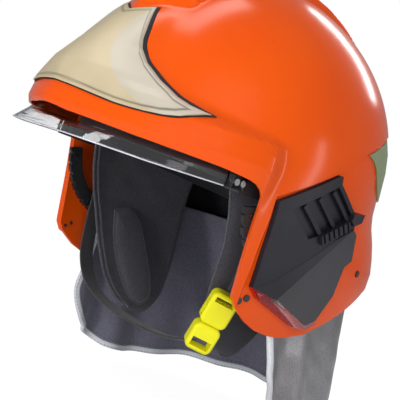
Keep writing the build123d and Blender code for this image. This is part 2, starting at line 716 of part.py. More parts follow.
with BuildPart() as headband:
    add(band_blank(0, band_thickness, 0, 0), clean=False)
    with BuildSketch(Plane.XZ.offset(-ear_face - ear_thickness)):
        for side in (-1, 1):
            with BuildLine():
                Polyline((side * ear_inner, rack_low), (side * band_end, rack_low), (side * band_end, rack_high),
                         (side * ear_inner, rack_high), close=True)
            make_face()
    extrude(amount=ear_thickness, clean=False)
    with BuildSketch(Plane.XZ.offset(-ear_face - ear_thickness)):
        for side in (-1, 1):
            with BuildLine():
                Polyline((side * (band_end - ear_thickness), rack_low), (side * band_end, rack_low),
                         (side * band_end, rack_high), (side * (band_end - ear_thickness), rack_high), close=True)
            make_face()
    extrude(amount=ear_face + ear_thickness - band_low[1][0] + ear_overlap, clean=False)
write(headband.part, "headband")

# Ratchet: two toothed racks, drawn together by a pinion on the knob
rack_thickness = 2.2 * mm
rack_face = ear_face - seat_gap
rack_inner_end = -12 * mm
rack_outer_end = 49 * mm
knob_height = -14 * mm
pinion_radius = 3 * mm
pinion_teeth = 8
tooth_depth = 1.2 * mm
tooth_pitch = 2 * pi * (pinion_radius - tooth_depth / 2) / pinion_teeth
tooth_count = 10
knob_radius = 17 * mm
knob_front = 95.5 * mm
knob_thickness = 9 * mm
knob_scallops = 18
scallop_radius = 1.6 * mm
housing_half_width = 30 * mm
housing_wall = 2.5 * mm

with BuildPart() as rack_left:
    with BuildSketch(Plane.XZ.offset(-rack_face)):
        with BuildLine():
            Polyline((rack_inner_end, knob_height + pinion_radius), (rack_outer_end, knob_height + pinion_radius),
                     (rack_outer_end, rack_high), (rack_inner_end, rack_high), close=True)
        make_face()
        for tooth in range(tooth_count):
            at = rack_inner_end + (tooth + 0.5) * tooth_pitch
            with BuildLine():
                Polyline((at - tooth_pitch / 4, knob_height + pinion_radius),
                         (at + tooth_pitch / 4, knob_height + pinion_radius),
                         (at, knob_height + pinion_radius + tooth_depth), close=True)
            make_face(mode=Mode.SUBTRACT)
    extrude(amount=rack_thickness, clean=False)
write(rack_left.part, "rack_left")
write(rack_left.part.rotate(Axis((0, 0, knob_height), (0, 1, 0)), 180), "rack_right")

with BuildPart() as ratchet_housing:
    with BuildSketch(Plane.XZ.offset(-rack_face - housing_wall)):
        with BuildLine():
            Polyline((-housing_half_width, rack_low - housing_wall), (housing_half_width, rack_low - housing_wall),
                     (housing_half_width, rack_high + housing_wall), (-housing_half_width, rack_high + housing_wall),
                     close=True)
        make_face()
        fillet(vertices(), housing_wall)
    extrude(amount=rack_thickness + 2 * housing_wall + seat_gap, clean=False)
    with BuildSketch(Plane.XZ.offset(-rack_face - seat_gap)):
        with BuildLine():
            Polyline((-side_reach, rack_low - seat_gap), (side_reach, rack_low - seat_gap),
                     (side_reach, rack_high + seat_gap), (-side_reach, rack_high + seat_gap), close=True)
        make_face()
    extrude(amount=rack_thickness + 2 * seat_gap, mode=Mode.SUBTRACT, clean=False)
    with BuildSketch(Plane.XZ.offset(-knob_front)):
        with Locations((0, knob_height)):
            Circle(pinion_radius + running_gap)
    extrude(amount=overrun, mode=Mode.SUBTRACT, clean=False)
write(ratchet_housing.part, "ratchet_housing")

with BuildPart() as ratchet_knob:
    with BuildSketch(Plane.XZ.offset(-knob_front - knob_thickness)):
        with Locations((0, knob_height)):
            Circle(knob_radius)
            with PolarLocations(knob_radius + scallop_radius / 3, knob_scallops):
                Circle(scallop_radius, mode=Mode.SUBTRACT)
    extrude(amount=knob_thickness, clean=False)
    with BuildSketch(Plane.XZ.offset(-knob_front)):
        with Locations((0, knob_height)):
            Circle(pinion_radius - tooth_depth - seat_gap)
            with PolarLocations(0, pinion_teeth, start_angle=90):
                Rectangle(pinion_radius - seat_gap, tooth_pitch / 3, align=(Align.MIN, Align.CENTER))
    extrude(amount=knob_front - rack_face + rack_thickness + seat_gap, clean=False)
write(ratchet_knob.part, "ratchet_knob")

# Crown straps: one runs across and one along inside the cap, with a pad under the crossing
strap_width = 22 * mm
strap_thickness = 1.6 * mm
strap_base = 2 * mm
across_rise = 98 * mm
along_rise = 95 * mm
strap_stand = 1.2 * mm
brow_thickness = 7 * mm
strap_side = band_half_width - band_thickness - strap_stand
strap_front = band_front - band_thickness - brow_thickness - strap_stand - shell_middle
strap_rear = rack_face - rack_thickness - 2 * housing_wall
strap_middle = (strap_rear - strap_front) / 2
strap_reach = (strap_rear + strap_front) / 2
with BuildPart() as crown_strap_across:
    with BuildSketch(Plane.XZ.offset(-strap_middle - strap_width / 2)):
        with Locations((0, strap_base)):
            Ellipse(strap_side, across_rise)
            Ellipse(strap_side - strap_thickness, across_rise - strap_thickness, mode=Mode.SUBTRACT)
            Rectangle(2 * side_reach, side_reach, align=(Align.CENTER, Align.MAX), mode=Mode.SUBTRACT)
    extrude(amount=strap_width, clean=False)
write(crown_strap_across.part, "crown_strap_across")

with BuildPart() as crown_strap_along:
    with BuildSketch(Plane.YZ.offset(-strap_width / 2)):
        with Locations((strap_middle, strap_base)):
            Ellipse(strap_reach, along_rise)
            Ellipse(strap_reach - strap_thickness, along_rise - strap_thickness, mode=Mode.SUBTRACT)
            Rectangle(2 * side_reach, side_reach, align=(Align.CENTER, Align.MAX), mode=Mode.SUBTRACT)
    extrude(amount=strap_width, clean=False)
write(crown_strap_along.part, "crown_strap_along")

crown_pad_radius = 30 * mm
crown_pad_thickness = 8 * mm
crown_pad_edge = 2 * mm
crown_pad_top = strap_base + along_rise - strap_thickness - seat_gap
crown_pad_drop = 6.5 * mm
with BuildPart() as crown_pad:
    with BuildSketch(Plane.XZ):
        with BuildLine():
            Polyline((0, crown_pad_top), (crown_pad_radius / 2, crown_pad_top - crown_pad_drop / 3),
                     (crown_pad_radius, crown_pad_top - crown_pad_drop),
                     (crown_pad_radius + crown_pad_edge, crown_pad_top - crown_pad_drop - crown_pad_thickness / 2),
                     (crown_pad_radius, crown_pad_top - crown_pad_drop - crown_pad_thickness),
                     (crown_pad_radius / 2, crown_pad_top - crown_pad_drop / 3 - crown_pad_thickness),
                     (0, crown_pad_top - crown_pad_thickness), close=True)
        make_face()
    revolve(axis=Axis.Z)
write(crown_pad.part.translate((0, strap_middle, 0)), "crown_pad")

# Brow pad: a soft band inside the headband's front, drawn in at its channels
brow_reach = 60 * mm
brow_inset = 1 * mm
brow_depth = 82 * mm
brow_channels = 5
channel_radius = 1.5 * mm
with BuildPart() as brow_pad:
    add(band_blank(band_thickness + seat_gap, band_thickness + seat_gap + brow_thickness, brow_inset,
                   brow_inset), clean=False)
    with BuildSketch(Plane.XY.offset(-band_height)):
        with Locations((0, -band_front)):
            Rectangle(2 * brow_reach, brow_depth)
    extrude(amount=3 * band_height, mode=Mode.INTERSECT, clean=False)
    with BuildSketch(Plane.XY.offset(-band_height)):
        for channel in range(brow_channels):
            across = brow_reach * (2 * channel / (brow_channels - 1) - 1) * 0.75
            inner_half = band_half_width - band_thickness - seat_gap - brow_thickness
            inner_front = band_front - band_thickness - seat_gap - brow_thickness
            with Locations((across, shell_middle - inner_front * sqrt(1 - (across / inner_half) ** 2))):
                Circle(channel_radius)
    extrude(amount=3 * band_height, mode=Mode.SUBTRACT, clean=False)
write(brow_pad.part, "brow_pad")

# Ear liners: textile skirts that hang from the cap beside the ears, each with a padded lobe
liner_thickness = 4 * mm
liner_sections = [
    # height, half width, front reach, rear reach
    (-2 * mm, 91 * mm, 108 * mm, 128 * mm),
    (-30 * mm, 90.5 * mm, 108 * mm, 128 * mm),
    (-50 * mm, 87 * mm, 106 * mm, 128 * mm),
    (-70 * mm, 80 * mm, 102 * mm, 126 * mm),
    (-97 * mm, 71 * mm, 96 * mm, 122 * mm),
    (-124 * mm, 63 * mm, 88 * mm, 116 * mm),
    (-145 * mm, 58 * mm, 83 * mm, 112 * mm),
]
liner_power = 2.4
liner_edge = [(-50 * mm, -5 * mm), (-42 * mm, -32 * mm), (-33 * mm, -60 * mm), (-25 * mm, -88 * mm),
              (-14 * mm, -112 * mm), (2 * mm, -128 * mm), (20 * mm, -137 * mm), (36 * mm, -134 * mm),
              (48 * mm, -118 * mm), (56 * mm, -90 * mm), (62 * mm, -50 * mm), (66 * mm, -5 * mm)]
liner_top = [(20 * mm, -6.4 * mm), (-50 * mm, -4.1 * mm)]


def liner_form(inset):
    """The closed form of the liner, shrunk by inset."""
    return stacked([
        (height, oval(half - inset, front - inset, rear - inset, 0, liner_power, liner_power, steps=28))
        for height, half, front, rear in liner_sections
    ])


with BuildPart() as ear_liner:
    with BuildSketch(Plane.YZ):
        with BuildLine():
            Spline(*liner_edge)
            Polyline(liner_edge[-1], *liner_top, liner_edge[0])
        make_face()
    extrude(amount=side_reach, clean=False)
    add(liner_form(0), mode=Mode.INTERSECT, clean=False)
    add(liner_form(liner_thickness), mode=Mode.SUBTRACT, clean=False)
write_pair(ear_liner.part, "ear_liner")

ear_pad_edge = [(-12 * mm, -60 * mm), (2 * mm, -56 * mm), (14 * mm, -62 * mm), (24 * mm, -84 * mm),
                (32 * mm, -108 * mm), (33 * mm, -122 * mm), (25 * mm, -129 * mm), (12 * mm, -124 * mm),
                (-1 * mm, -106 * mm), (-10 * mm, -84 * mm)]
ear_pad_thickness = 8 * mm
with BuildPart() as ear_pad:
    with BuildSketch(Plane.YZ):
        with BuildLine():
            Spline(*ear_pad_edge, periodic=True)
        make_face()
    extrude(amount=side_reach, clean=False)
    add(liner_form(liner_thickness + seat_gap), mode=Mode.INTERSECT, clean=False)
    add(liner_form(liner_thickness + seat_gap + ear_pad_thickness), mode=Mode.SUBTRACT, clean=False)
write_pair(ear_pad.part, "ear_pad")

# Neck curtain: an outer layer, a lining and a binding round the edges; folds grow towards the hem
# height, half width, front reach, rear reach
curtain_sections = [
    (-40 * mm, 99 * mm, 100 * mm, 146 * mm),
    (-70 * mm, 101 * mm, 104 * mm, 149 * mm),
    (-95 * mm, 102.5 * mm, 108 * mm, 151 * mm),
    (-120 * mm, 104 * mm, 112 * mm, 153 * mm),
    (-150 * mm, 104.5 * mm, 112 * mm, 156 * mm),
    (-186 * mm, 103 * mm, 110 * mm, 159 * mm),
]
curtain_power = 2.9
curtain_thickness = 1.4 * mm
lining_thickness = 1.4 * mm
binding_width = 4.5 * mm
binding_stand = 0.9 * mm
fold_count = 9
fold_depth = 3.5 * mm
curtain_top = -42 * mm
curtain_steps = 72
# The curtain's outline seen from the side, as (y, z)
curtain_edge = [(34 * mm, curtain_top), (-4 * mm, -70 * mm), (-7 * mm, -90 * mm), (-7 * mm, -112 * mm),
                (-8 * mm, -134 * mm), (2 * mm, -155 * mm), (18 * mm, -169 * mm), (36 * mm, -178 * mm),
                (60 * mm, -180 * mm), (100 * mm, -176 * mm), (166 * mm, -166 * mm)]


def curtain_form(inset):
    """The closed form inside one face of the curtain, with its folds."""
    sections = []
    first, last = curtain_sections[0][0], curtain_sections[-1][0]
    for height, half, front, rear in curtain_sections:
        drop = (first - height) / (first - last)
        points = []
        for x, y in oval(half - inset, front - inset, rear - inset, 0, curtain_power, curtain_power,
                         steps=curtain_steps):
            wave = fold_depth * drop ** 2 * cos(fold_count * atan2(x, y))
            points.append((x * (1 + wave / half), y * (1 + wave / rear)))
        sections.append((height, points))
    return stacked(sections)


def curtain_outline(margin):
    """The curtain seen from the side, with its hem and front edge drawn in by a margin."""
    hang = [(y + margin, z + margin) for y, z in curtain_edge[1:]]
    with BuildSketch(Plane.YZ) as outline:
        with BuildLine():
            Spline(*hang)
            Polyline(hang[-1], (hang[-1][0] + overrun, hang[-1][1]), (hang[-1][0] + overrun, curtain_top),
                     curtain_edge[0], hang[0])
        make_face()
    return outline.sketch


lining_outer = curtain_thickness + layer_gap
lining_inner = lining_outer + lining_thickness
with BuildPart() as neck_curtain:
    extrude(curtain_outline(binding_width), amount=side_reach, both=True, clean=False)
    add(curtain_form(0), mode=Mode.INTERSECT, clean=False)
    add(curtain_form(curtain_thickness), mode=Mode.SUBTRACT, clean=False)
write(neck_curtain.part, "neck_curtain")
with BuildPart() as curtain_lining:
    extrude(curtain_outline(binding_width), amount=side_reach, both=True, clean=False)
    add(curtain_form(lining_outer), mode=Mode.INTERSECT, clean=False)
    add(curtain_form(lining_inner), mode=Mode.SUBTRACT, clean=False)
write(curtain_lining.part, "curtain_lining")
with BuildPart() as curtain_binding:
    extrude(curtain_outline(0), amount=side_reach, both=True, clean=False)
    add(curtain_form(-binding_stand), mode=Mode.INTERSECT, clean=False)
    add(curtain_form(lining_inner + binding_stand), mode=Mode.SUBTRACT, clean=False)
    extrude(curtain_outline(binding_width - layer_gap), amount=side_reach, both=True, mode=Mode.SUBTRACT,
            clean=False)
write(curtain_binding.part, "curtain_binding")

# Quick buckle under the chin, on the wearer's left: a socket, and a tongue that pulls out of it
buckle_top = Vector(85 * mm, -20 * mm, -86 * mm)
buckle_low = Vector(71 * mm, -22 * mm, -132 * mm)
buckle_face = Vector(0.80, -0.52, -0.27)
buckle_width = 21 * mm
buckle_thickness = 11 * mm
socket_length = 26 * mm
buckle_gap = 0.4 * mm
tongue_length = (buckle_top - buckle_low).length - socket_length - buckle_gap
prong_length = 18 * mm
prong_width = 3.6 * mm
prong_thickness = 4 * mm
prong_spread = 5.2 * mm
guide_prong_width = 3 * mm
cavity_gap = 0.5 * mm
window_width = 15 * mm
window_length = 7 * mm
socket_window = 4 * mm
bar_length = 3.5 * mm
buckle_round = 2.4 * mm
buckle_along = (buckle_top - buckle_low).normalized()
buckle_out = (buckle_face - buckle_along * buckle_face.dot(buckle_along)).normalized()
buckle_across = buckle_along.cross(buckle_out)
# Local frame: x across, y along towards the top, z out of the buckle's face
buckle_plane = Plane(origin=buckle_low, x_dir=buckle_across, z_dir=buckle_out)
joint_line = tongue_length
socket_middle = tongue_length + buckle_gap + socket_length / 2

with BuildPart() as buckle_socket:
    with BuildSketch(buckle_plane.offset(-buckle_thickness / 2)):
        with Locations((0, socket_middle)):
            RectangleRounded(buckle_width, socket_length, 2 * buckle_round)
    extrude(amount=buckle_thickness, clean=False)
    fillet(buckle_socket.faces().sort_by(Axis(buckle_plane.origin, buckle_plane.z_dir))[-1].edges(), buckle_round)
    with BuildSketch(buckle_plane.offset(-prong_thickness / 2 - cavity_gap)):
        with Locations((0, tongue_length + buckle_gap)):
            Rectangle(2 * prong_spread + prong_width + 2 * cavity_gap, prong_length + cavity_gap,
                      align=(Align.CENTER, Align.MIN))
    extrude(amount=prong_thickness + 2 * cavity_gap, mode=Mode.SUBTRACT, clean=False)
    with BuildSketch(buckle_plane.offset(-buckle_thickness)):
        with Locations((0, tongue_length + buckle_gap + socket_length - bar_length)):
            Rectangle(window_width, socket_window, align=(Align.CENTER, Align.MAX))
    extrude(amount=2 * buckle_thickness, mode=Mode.SUBTRACT, clean=False)
    for side in (-1, 1):
        with BuildSketch(buckle_plane.offset(-prong_thickness / 2 - cavity_gap)):
            with Locations((side * buckle_width / 2, tongue_length + buckle_gap + prong_length / 2)):
                Rectangle(2 * prong_spread, prong_length / 2)
        extrude(amount=prong_thickness + 2 * cavity_gap, mode=Mode.SUBTRACT, clean=False)
write(buckle_socket.part, "buckle_socket")

with BuildPart() as buckle_tongue:
    with BuildSketch(buckle_plane.offset(-buckle_thickness / 2)):
        with Locations((0, tongue_length / 2)):
            RectangleRounded(buckle_width, tongue_length, 2 * buckle_round)
    extrude(amount=buckle_thickness, clean=False)
    fillet(buckle_tongue.faces().sort_by(Axis(buckle_plane.origin, buckle_plane.z_dir))[-1].edges(), buckle_round)
    with BuildSketch(buckle_plane.offset(-buckle_thickness)):
        with Locations((0, bar_length)):
            Rectangle(window_width, window_length, align=(Align.CENTER, Align.MIN))
    extrude(amount=2 * buckle_thickness, mode=Mode.SUBTRACT, clean=False)
    with BuildSketch(buckle_plane.offset(-prong_thickness / 2)):
        for side in (-1, 1):
            with Locations((side * prong_spread, joint_line - buckle_round)):
                Rectangle(prong_width, prong_length + buckle_round, align=(Align.CENTER, Align.MIN))
        with Locations((0, joint_line - buckle_round)):
            Rectangle(guide_prong_width, prong_length, align=(Align.CENTER, Align.MIN))
    extrude(amount=prong_thickness, clean=False)
write(buckle_tongue.part, "buckle_tongue")


# Curtain rail: a rib inside the shell that the curtain's top edge is hung on
rail_drop = 1 * mm
rail_height = 7 * mm
rail_high = curtain_top - rail_drop
rail_low = rail_high - rail_height
rail_front = 42 * mm
# The rear studs' posts pass through holes in the rail
with BuildPart() as stud_room:
    with BuildSketch(Plane.YZ):
        with Locations(stud_places[-1]):
            Circle(stud_radius)
    extrude(amount=side_reach, both=True, clean=False)

with BuildPart() as curtain_rail:
    with BuildSketch(Plane.YZ):
        with BuildLine():
            Polyline((rail_front, rail_low), (far, rail_low), (far, rail_high), (rail_front, rail_high), close=True)
        make_face()
    extrude(amount=side_reach, both=True, clean=False)
    add(shell_form(-dome_step - shell_wall - layer_gap, None, highest=0), mode=Mode.INTERSECT, clean=False)
    add(curtain_form(-seat_gap), mode=Mode.SUBTRACT, clean=False)
    add(stud_room.part, mode=Mode.SUBTRACT, clean=False)
write(curtain_rail.part, "curtain_rail")

# Chin strap: flat webbing, one length from each side of the cap's edge into the buckle's windows
web_middle = -21 * mm
web_width = 13 * mm
web_thickness = 2.2 * mm
anchor_height = -5.5 * mm
right_route = [(-93.5 * mm, anchor_height), (-93.5 * mm, -30 * mm), (-92.5 * mm, -60 * mm), (-90 * mm, -84 * mm),
               (-84 * mm, -105 * mm), (-69 * mm, -121 * mm), (-45 * mm, -130 * mm), (-10 * mm, -134 * mm),
               (28 * mm, -134 * mm), (50 * mm, -131 * mm), (63 * mm, -127 * mm), (76 * mm, -125.5 * mm)]
left_route = [(93.5 * mm, anchor_height), (93.5 * mm, -30 * mm), (93.5 * mm, -60 * mm), (92 * mm, -76 * mm),
              (88 * mm, -86 * mm), (77 * mm, -90.5 * mm)]


def webbing(route):
    """Flat webbing along a route of (x, z) points, as wide as the web along Y."""
    with BuildPart() as web:
        with BuildSketch(Plane.XZ.offset(-web_middle - web_width / 2)):
            with BuildLine():
                middle = Spline(*route)
            trace(lines=middle, line_width=web_thickness)
        extrude(amount=web_width, clean=False)
    return web.part


with BuildPart() as buckle_room:
    with BuildSketch(buckle_plane.offset(-buckle_thickness / 2 - seat_gap)):
        with Locations((0, -seat_gap)):
            Rectangle(buckle_width + 2 * seat_gap, tongue_length + buckle_gap + socket_length + 2 * seat_gap,
                      align=(Align.CENTER, Align.MIN))
    extrude(amount=buckle_thickness + 2 * seat_gap, clean=False)

with BuildPart() as chin_strap_right:
    add(webbing(right_route), clean=False)
    add(buckle_room.part, mode=Mode.SUBTRACT, clean=False)
write(chin_strap_right.part, "chin_strap_right")

with BuildPart() as chin_strap_left:
    add(webbing(left_route), clean=False)
    add(buckle_room.part, mode=Mode.SUBTRACT, clean=False)
write(chin_strap_left.part, "chin_strap_left")
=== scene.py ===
import bmesh
import bpy
import json
import numpy as np
from math import pi, radians
from mathutils import Matrix, Vector


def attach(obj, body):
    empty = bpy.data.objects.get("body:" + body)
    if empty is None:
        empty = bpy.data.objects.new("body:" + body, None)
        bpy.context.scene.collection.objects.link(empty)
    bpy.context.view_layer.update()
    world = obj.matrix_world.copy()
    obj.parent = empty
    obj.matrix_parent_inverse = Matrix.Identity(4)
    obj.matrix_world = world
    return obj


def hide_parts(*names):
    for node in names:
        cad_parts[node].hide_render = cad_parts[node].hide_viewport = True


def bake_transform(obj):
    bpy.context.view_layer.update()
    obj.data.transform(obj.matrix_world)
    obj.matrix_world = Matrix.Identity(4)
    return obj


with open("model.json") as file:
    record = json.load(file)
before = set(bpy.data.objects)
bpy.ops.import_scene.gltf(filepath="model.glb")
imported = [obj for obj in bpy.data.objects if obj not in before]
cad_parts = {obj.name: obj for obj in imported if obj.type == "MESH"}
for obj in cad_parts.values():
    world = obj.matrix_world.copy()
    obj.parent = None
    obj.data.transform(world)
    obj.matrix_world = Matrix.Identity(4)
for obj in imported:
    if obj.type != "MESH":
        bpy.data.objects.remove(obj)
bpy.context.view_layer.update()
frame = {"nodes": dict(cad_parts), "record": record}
record = frame["record"]
nodes = frame["nodes"]

# All shapes below are worked out in millimetres and put into the meshes in metres.
# +X is the wearer's left, -Y the front, +Z up, as in the CAD frame.
toMetres = 0.001


# Mesh helpers

def intoScene(name, data):
    made = bpy.data.objects.new(name, data)
    bpy.context.scene.collection.objects.link(made)
    return made


# A mesh object from points in millimetres, with one UV per vertex where given
def newPiece(name, verts, faces, uv=None, sharpAngle=35):
    mesh = bpy.data.meshes.new(name)
    mesh.from_pydata((np.asarray(verts, float) * toMetres).tolist(), [], [list(f) for f in faces])
    if uv is not None:
        loopVerts = np.empty(len(mesh.loops), dtype=np.int32)
        mesh.loops.foreach_get("vertex_index", loopVerts)
        layer = mesh.uv_layers.new(name="flatCloth")
        layer.data.foreach_set("uv", (np.asarray(uv, float)[loopVerts] * toMetres).ravel())
    mesh.shade_smooth()
    mesh.set_sharp_from_angle(angle=radians(sharpAngle))
    mesh.update()
    return intoScene(name, mesh)


# Quads between neighbouring rows and columns; closed joins the last column to the first
def gridFaces(rows, columns, closed=False, start=0, flip=False):
    r = np.arange(rows - 1)[:, None]
    c = np.arange(columns if closed else columns - 1)[None, :]
    n = (c + 1) % columns
    this, below = r * columns, (r + 1) * columns
    quads = np.stack([this + c, this + n, below + n, below + c], axis=-1).reshape(-1, 4) + start
    return quads[:, ::-1] if flip else quads


# Stores one value set per vertex, which the piece's material reads as the attribute tone
def paintTone(piece, tone):
    layer = piece.data.attributes.new("tone", "FLOAT_COLOR", "POINT")
    opaque = np.ones((len(piece.data.vertices), 1))
    full = np.concatenate([np.asarray(tone, float).reshape(-1, 3), opaque], axis=1)
    layer.data.foreach_set("color", full.ravel())
    return piece


# Turns a closed mesh's faces outwards
def fixNormals(piece):
    work = bmesh.new()
    work.from_mesh(piece.data)
    bmesh.ops.recalc_face_normals(work, faces=work.faces)
    work.to_mesh(piece.data)
    work.free()
    return piece


# From 0 to 1 with level ends: t * t * (3 - 2 * t)
def smoothStep(value):
    value = np.clip(value, 0, 1)
    return value * value * (3 - 2 * value)


def unit(v):
    return v / np.maximum(np.linalg.norm(v, axis=-1, keepdims=True), 1e-9)


# Points from coordinates whose shapes match or stretch to one another
def toPoints(x, y, z):
    return np.stack(np.broadcast_arrays(x, y, z), axis=-1)


# The length run so far at each point of a path, or of a grid's rows or columns
def runAlong(grid, axis=0):
    run = np.cumsum(np.linalg.norm(np.diff(grid, axis=axis), axis=-1), axis=axis)
    return np.concatenate([np.zeros_like(run.take([0], axis)), run], axis=axis)


# Points evenly spaced along a Catmull-Rom curve through the given ones
def smoothLine(points, count, steps=24):
    p = np.asarray(points, float)
    p = np.vstack([2 * p[0] - p[1], p, 2 * p[-1] - p[-2]])
    t = np.linspace(0, 1, steps, endpoint=False)[None, :, None]
    a, b, c, d = (p[i:len(p) - 3 + i][:, None, :] for i in range(4))
    # the cubic through b and c whose slopes there are (c - a) / 2 and (d - b) / 2
    curve = 0.5 * (2 * b + (c - a) * t + (2 * a - 5 * b + 4 * c - d) * t ** 2
                   + (3 * b - a - 3 * c + d) * t ** 3)
    curve = np.vstack([curve.reshape(-1, p.shape[1]), p[-2]])
    length = runAlong(curve)
    at = np.linspace(0, length[-1], count)
    return np.stack([np.interp(at, length, curve[:, k]) for k in range(p.shape[1])], axis=1)


# A profile of (across, out) points carried along a path; across is the tangent crossed with the normal
def sweep(name, path, normals, profile, closed=False, sharpAngle=40):
    path, normals, profile = (np.asarray(given, float) for given in (path, normals, profile))
    if closed:
        tangent = unit(np.roll(path, -1, axis=0) - np.roll(path, 1, axis=0))
    else:
        tangent = unit(np.gradient(path, axis=0))
    out = unit(normals - (normals * tangent).sum(1, keepdims=True) * tangent)
    across = np.cross(tangent, out)
    rings = path[:, None, :] + profile[None, :, :1] * across[:, None, :]
    rings = rings + profile[None, :, 1:] * out[:, None, :]
    n, m = rings.shape[:2]
    faces = gridFaces(n + 1 if closed else n, m, closed=True)
    if closed:
        faces = faces % (n * m)
    faces = faces.tolist()
    if not closed:
        faces += [list(range(m)), list(range((n - 1) * m, n * m))[::-1]]
    uv = np.stack([np.repeat(runAlong(path), m), np.tile(runAlong(profile), n)], axis=1)
    return fixNormals(newPiece(name, rings.reshape(-1, 3), faces, uv=uv, sharpAngle=sharpAngle))


# A flat rounded profile: the superellipse |2 x / width|^power + |2 y / thickness|^power = 1
def roundedBox(width, thickness, steps=20, power=5):
    t = np.linspace(0, 2 * pi, steps, endpoint=False)
    x = np.sign(np.cos(t)) * np.abs(np.cos(t)) ** (2 / power) * width / 2
    y = np.sign(np.sin(t)) * np.abs(np.sin(t)) ** (2 / power) * thickness / 2
    return np.stack([x, y], axis=1)


def circle(radius, steps):
    ring = np.linspace(0, 2 * pi, steps, endpoint=False)
    return np.stack([np.cos(ring), np.sin(ring)], axis=1) * radius


# Two grids of the same size, joined round their border
def slabFaces(rows, columns):
    n = rows * columns
    border = np.concatenate([np.arange(columns), np.arange(1, rows) * columns + columns - 1,
                             (rows - 1) * columns + np.arange(columns - 1)[::-1],
                             np.arange(1, rows - 1)[::-1] * columns])
    after = np.roll(border, -1)
    faces = gridFaces(rows, columns).tolist() + gridFaces(rows, columns, start=n, flip=True).tolist()
    return faces + np.stack([after, border, border + n, after + n], axis=1).tolist()


# Two round grids, outer ring first, joined at that ring and each closed by one face in the middle
def roundFaces(rows, columns):
    n = rows * columns
    last = (rows - 1) * columns
    c = np.arange(columns)
    after = (c + 1) % columns
    faces = gridFaces(rows, columns, closed=True).tolist()
    faces += gridFaces(rows, columns, closed=True, start=n, flip=True).tolist()
    faces += np.stack([after, c, n + c, n + after], axis=1).tolist()
    return faces + [(last + c).tolist(), (n + last + c[::-1]).tolist()]


# Materials. A wave texture repeats every 2 pi / (20 * scale) metres, so its scale is 314 over the millimetres
# between threads
wavesPerThread = 314


def newMaterial(name):
    material = bpy.data.materials.new(name)
    material.use_nodes = True
    tree = material.node_tree
    return material, tree, tree.links.new, tree.nodes["Principled BSDF"]


def node(tree, kind, **values):
    made = tree.nodes.new(kind)
    for key, value in values.items():
        if hasattr(made, key):
            setattr(made, key, value)
        else:
            made.inputs[key.replace("_", " ")].default_value = value
    return made


def setInputs(made, values):
    for name, value in values.items():
        made.inputs[name].default_value = value


# The socket of that name and kind, since a mix node has several of one name
def socket(sockets, name, kind="RGBA"):
    return next(entry for entry in sockets if entry.name == name and entry.type == kind)


# A blend from one colour to another over part of the given value's range
def ramp(tree, fac, low, high, lowAt=0.35, highAt=0.65):
    made = tree.nodes.new("ShaderNodeValToRGB")
    for element, at, colour in zip(made.color_ramp.elements, (lowAt, highAt), (low, high)):
        element.position = at
        element.color = (*colour, 1)
    tree.links.new(fac, made.inputs[0])
    return made.outputs["Color"]


# A noise over the piece's own coordinates
def noise(tree, scale, detail):
    place = node(tree, "ShaderNodeTexCoord")
    made = node(tree, "ShaderNodeTexNoise", Scale=scale, Detail=detail)
    tree.links.new(place.outputs["Object"], made.inputs["Vector"])
    return made.outputs["Fac"]


def addRelief(tree, shader, height, strength, distance):
    relief = node(tree, "ShaderNodeBump", Strength=strength, Distance=distance)
    tree.links.new(height, relief.inputs["Height"])
    tree.links.new(relief.outputs["Normal"], shader.inputs["Normal"])


# Moulded or painted stuff: blotchy colour between two near tones, grain in the bump, uneven gloss. Painted
# tones, where given, are mixed in by the channels of the attribute tone
def solidFinish(name, low, high, roughness=0.4, roughSpread=0.08, metallic=0.0, grain=400.0, bump=0.00004,
                blotch=18.0, specular=0.5, tones=()):
    material, tree, join, shader = newMaterial(name)
    wide = noise(tree, blotch, 4.0)
    result = ramp(tree, wide, low, high)
    if tones:
        painted = node(tree, "ShaderNodeAttribute", attribute_name="tone")
        split = node(tree, "ShaderNodeSeparateColor")
        join(painted.outputs["Color"], split.inputs["Color"])
        for channel, tone in zip(("Red", "Green", "Blue"), tones):
            mixed = node(tree, "ShaderNodeMix", data_type="RGBA")
            join(split.outputs[channel], socket(mixed.inputs, "Factor", "VALUE"))
            join(result, socket(mixed.inputs, "A"))
            socket(mixed.inputs, "B").default_value = (*tone, 1)
            result = socket(mixed.outputs, "Result")
    join(result, shader.inputs["Base Color"])
    gloss = node(tree, "ShaderNodeMapRange")
    setInputs(gloss, {"To Min": roughness - roughSpread, "To Max": roughness + roughSpread})
    join(wide, gloss.inputs["Value"])
    join(gloss.outputs["Result"], shader.inputs["Roughness"])
    addRelief(tree, shader, noise(tree, grain, 3.0), 0.6, bump)
    setInputs(shader, {"Metallic": metallic, "Specular IOR Level": specular})
    return material


cloth = {"pile": 900.0, "pick": 0.45, "patch": 14.0, "dark": 0.45, "light": 0.95}


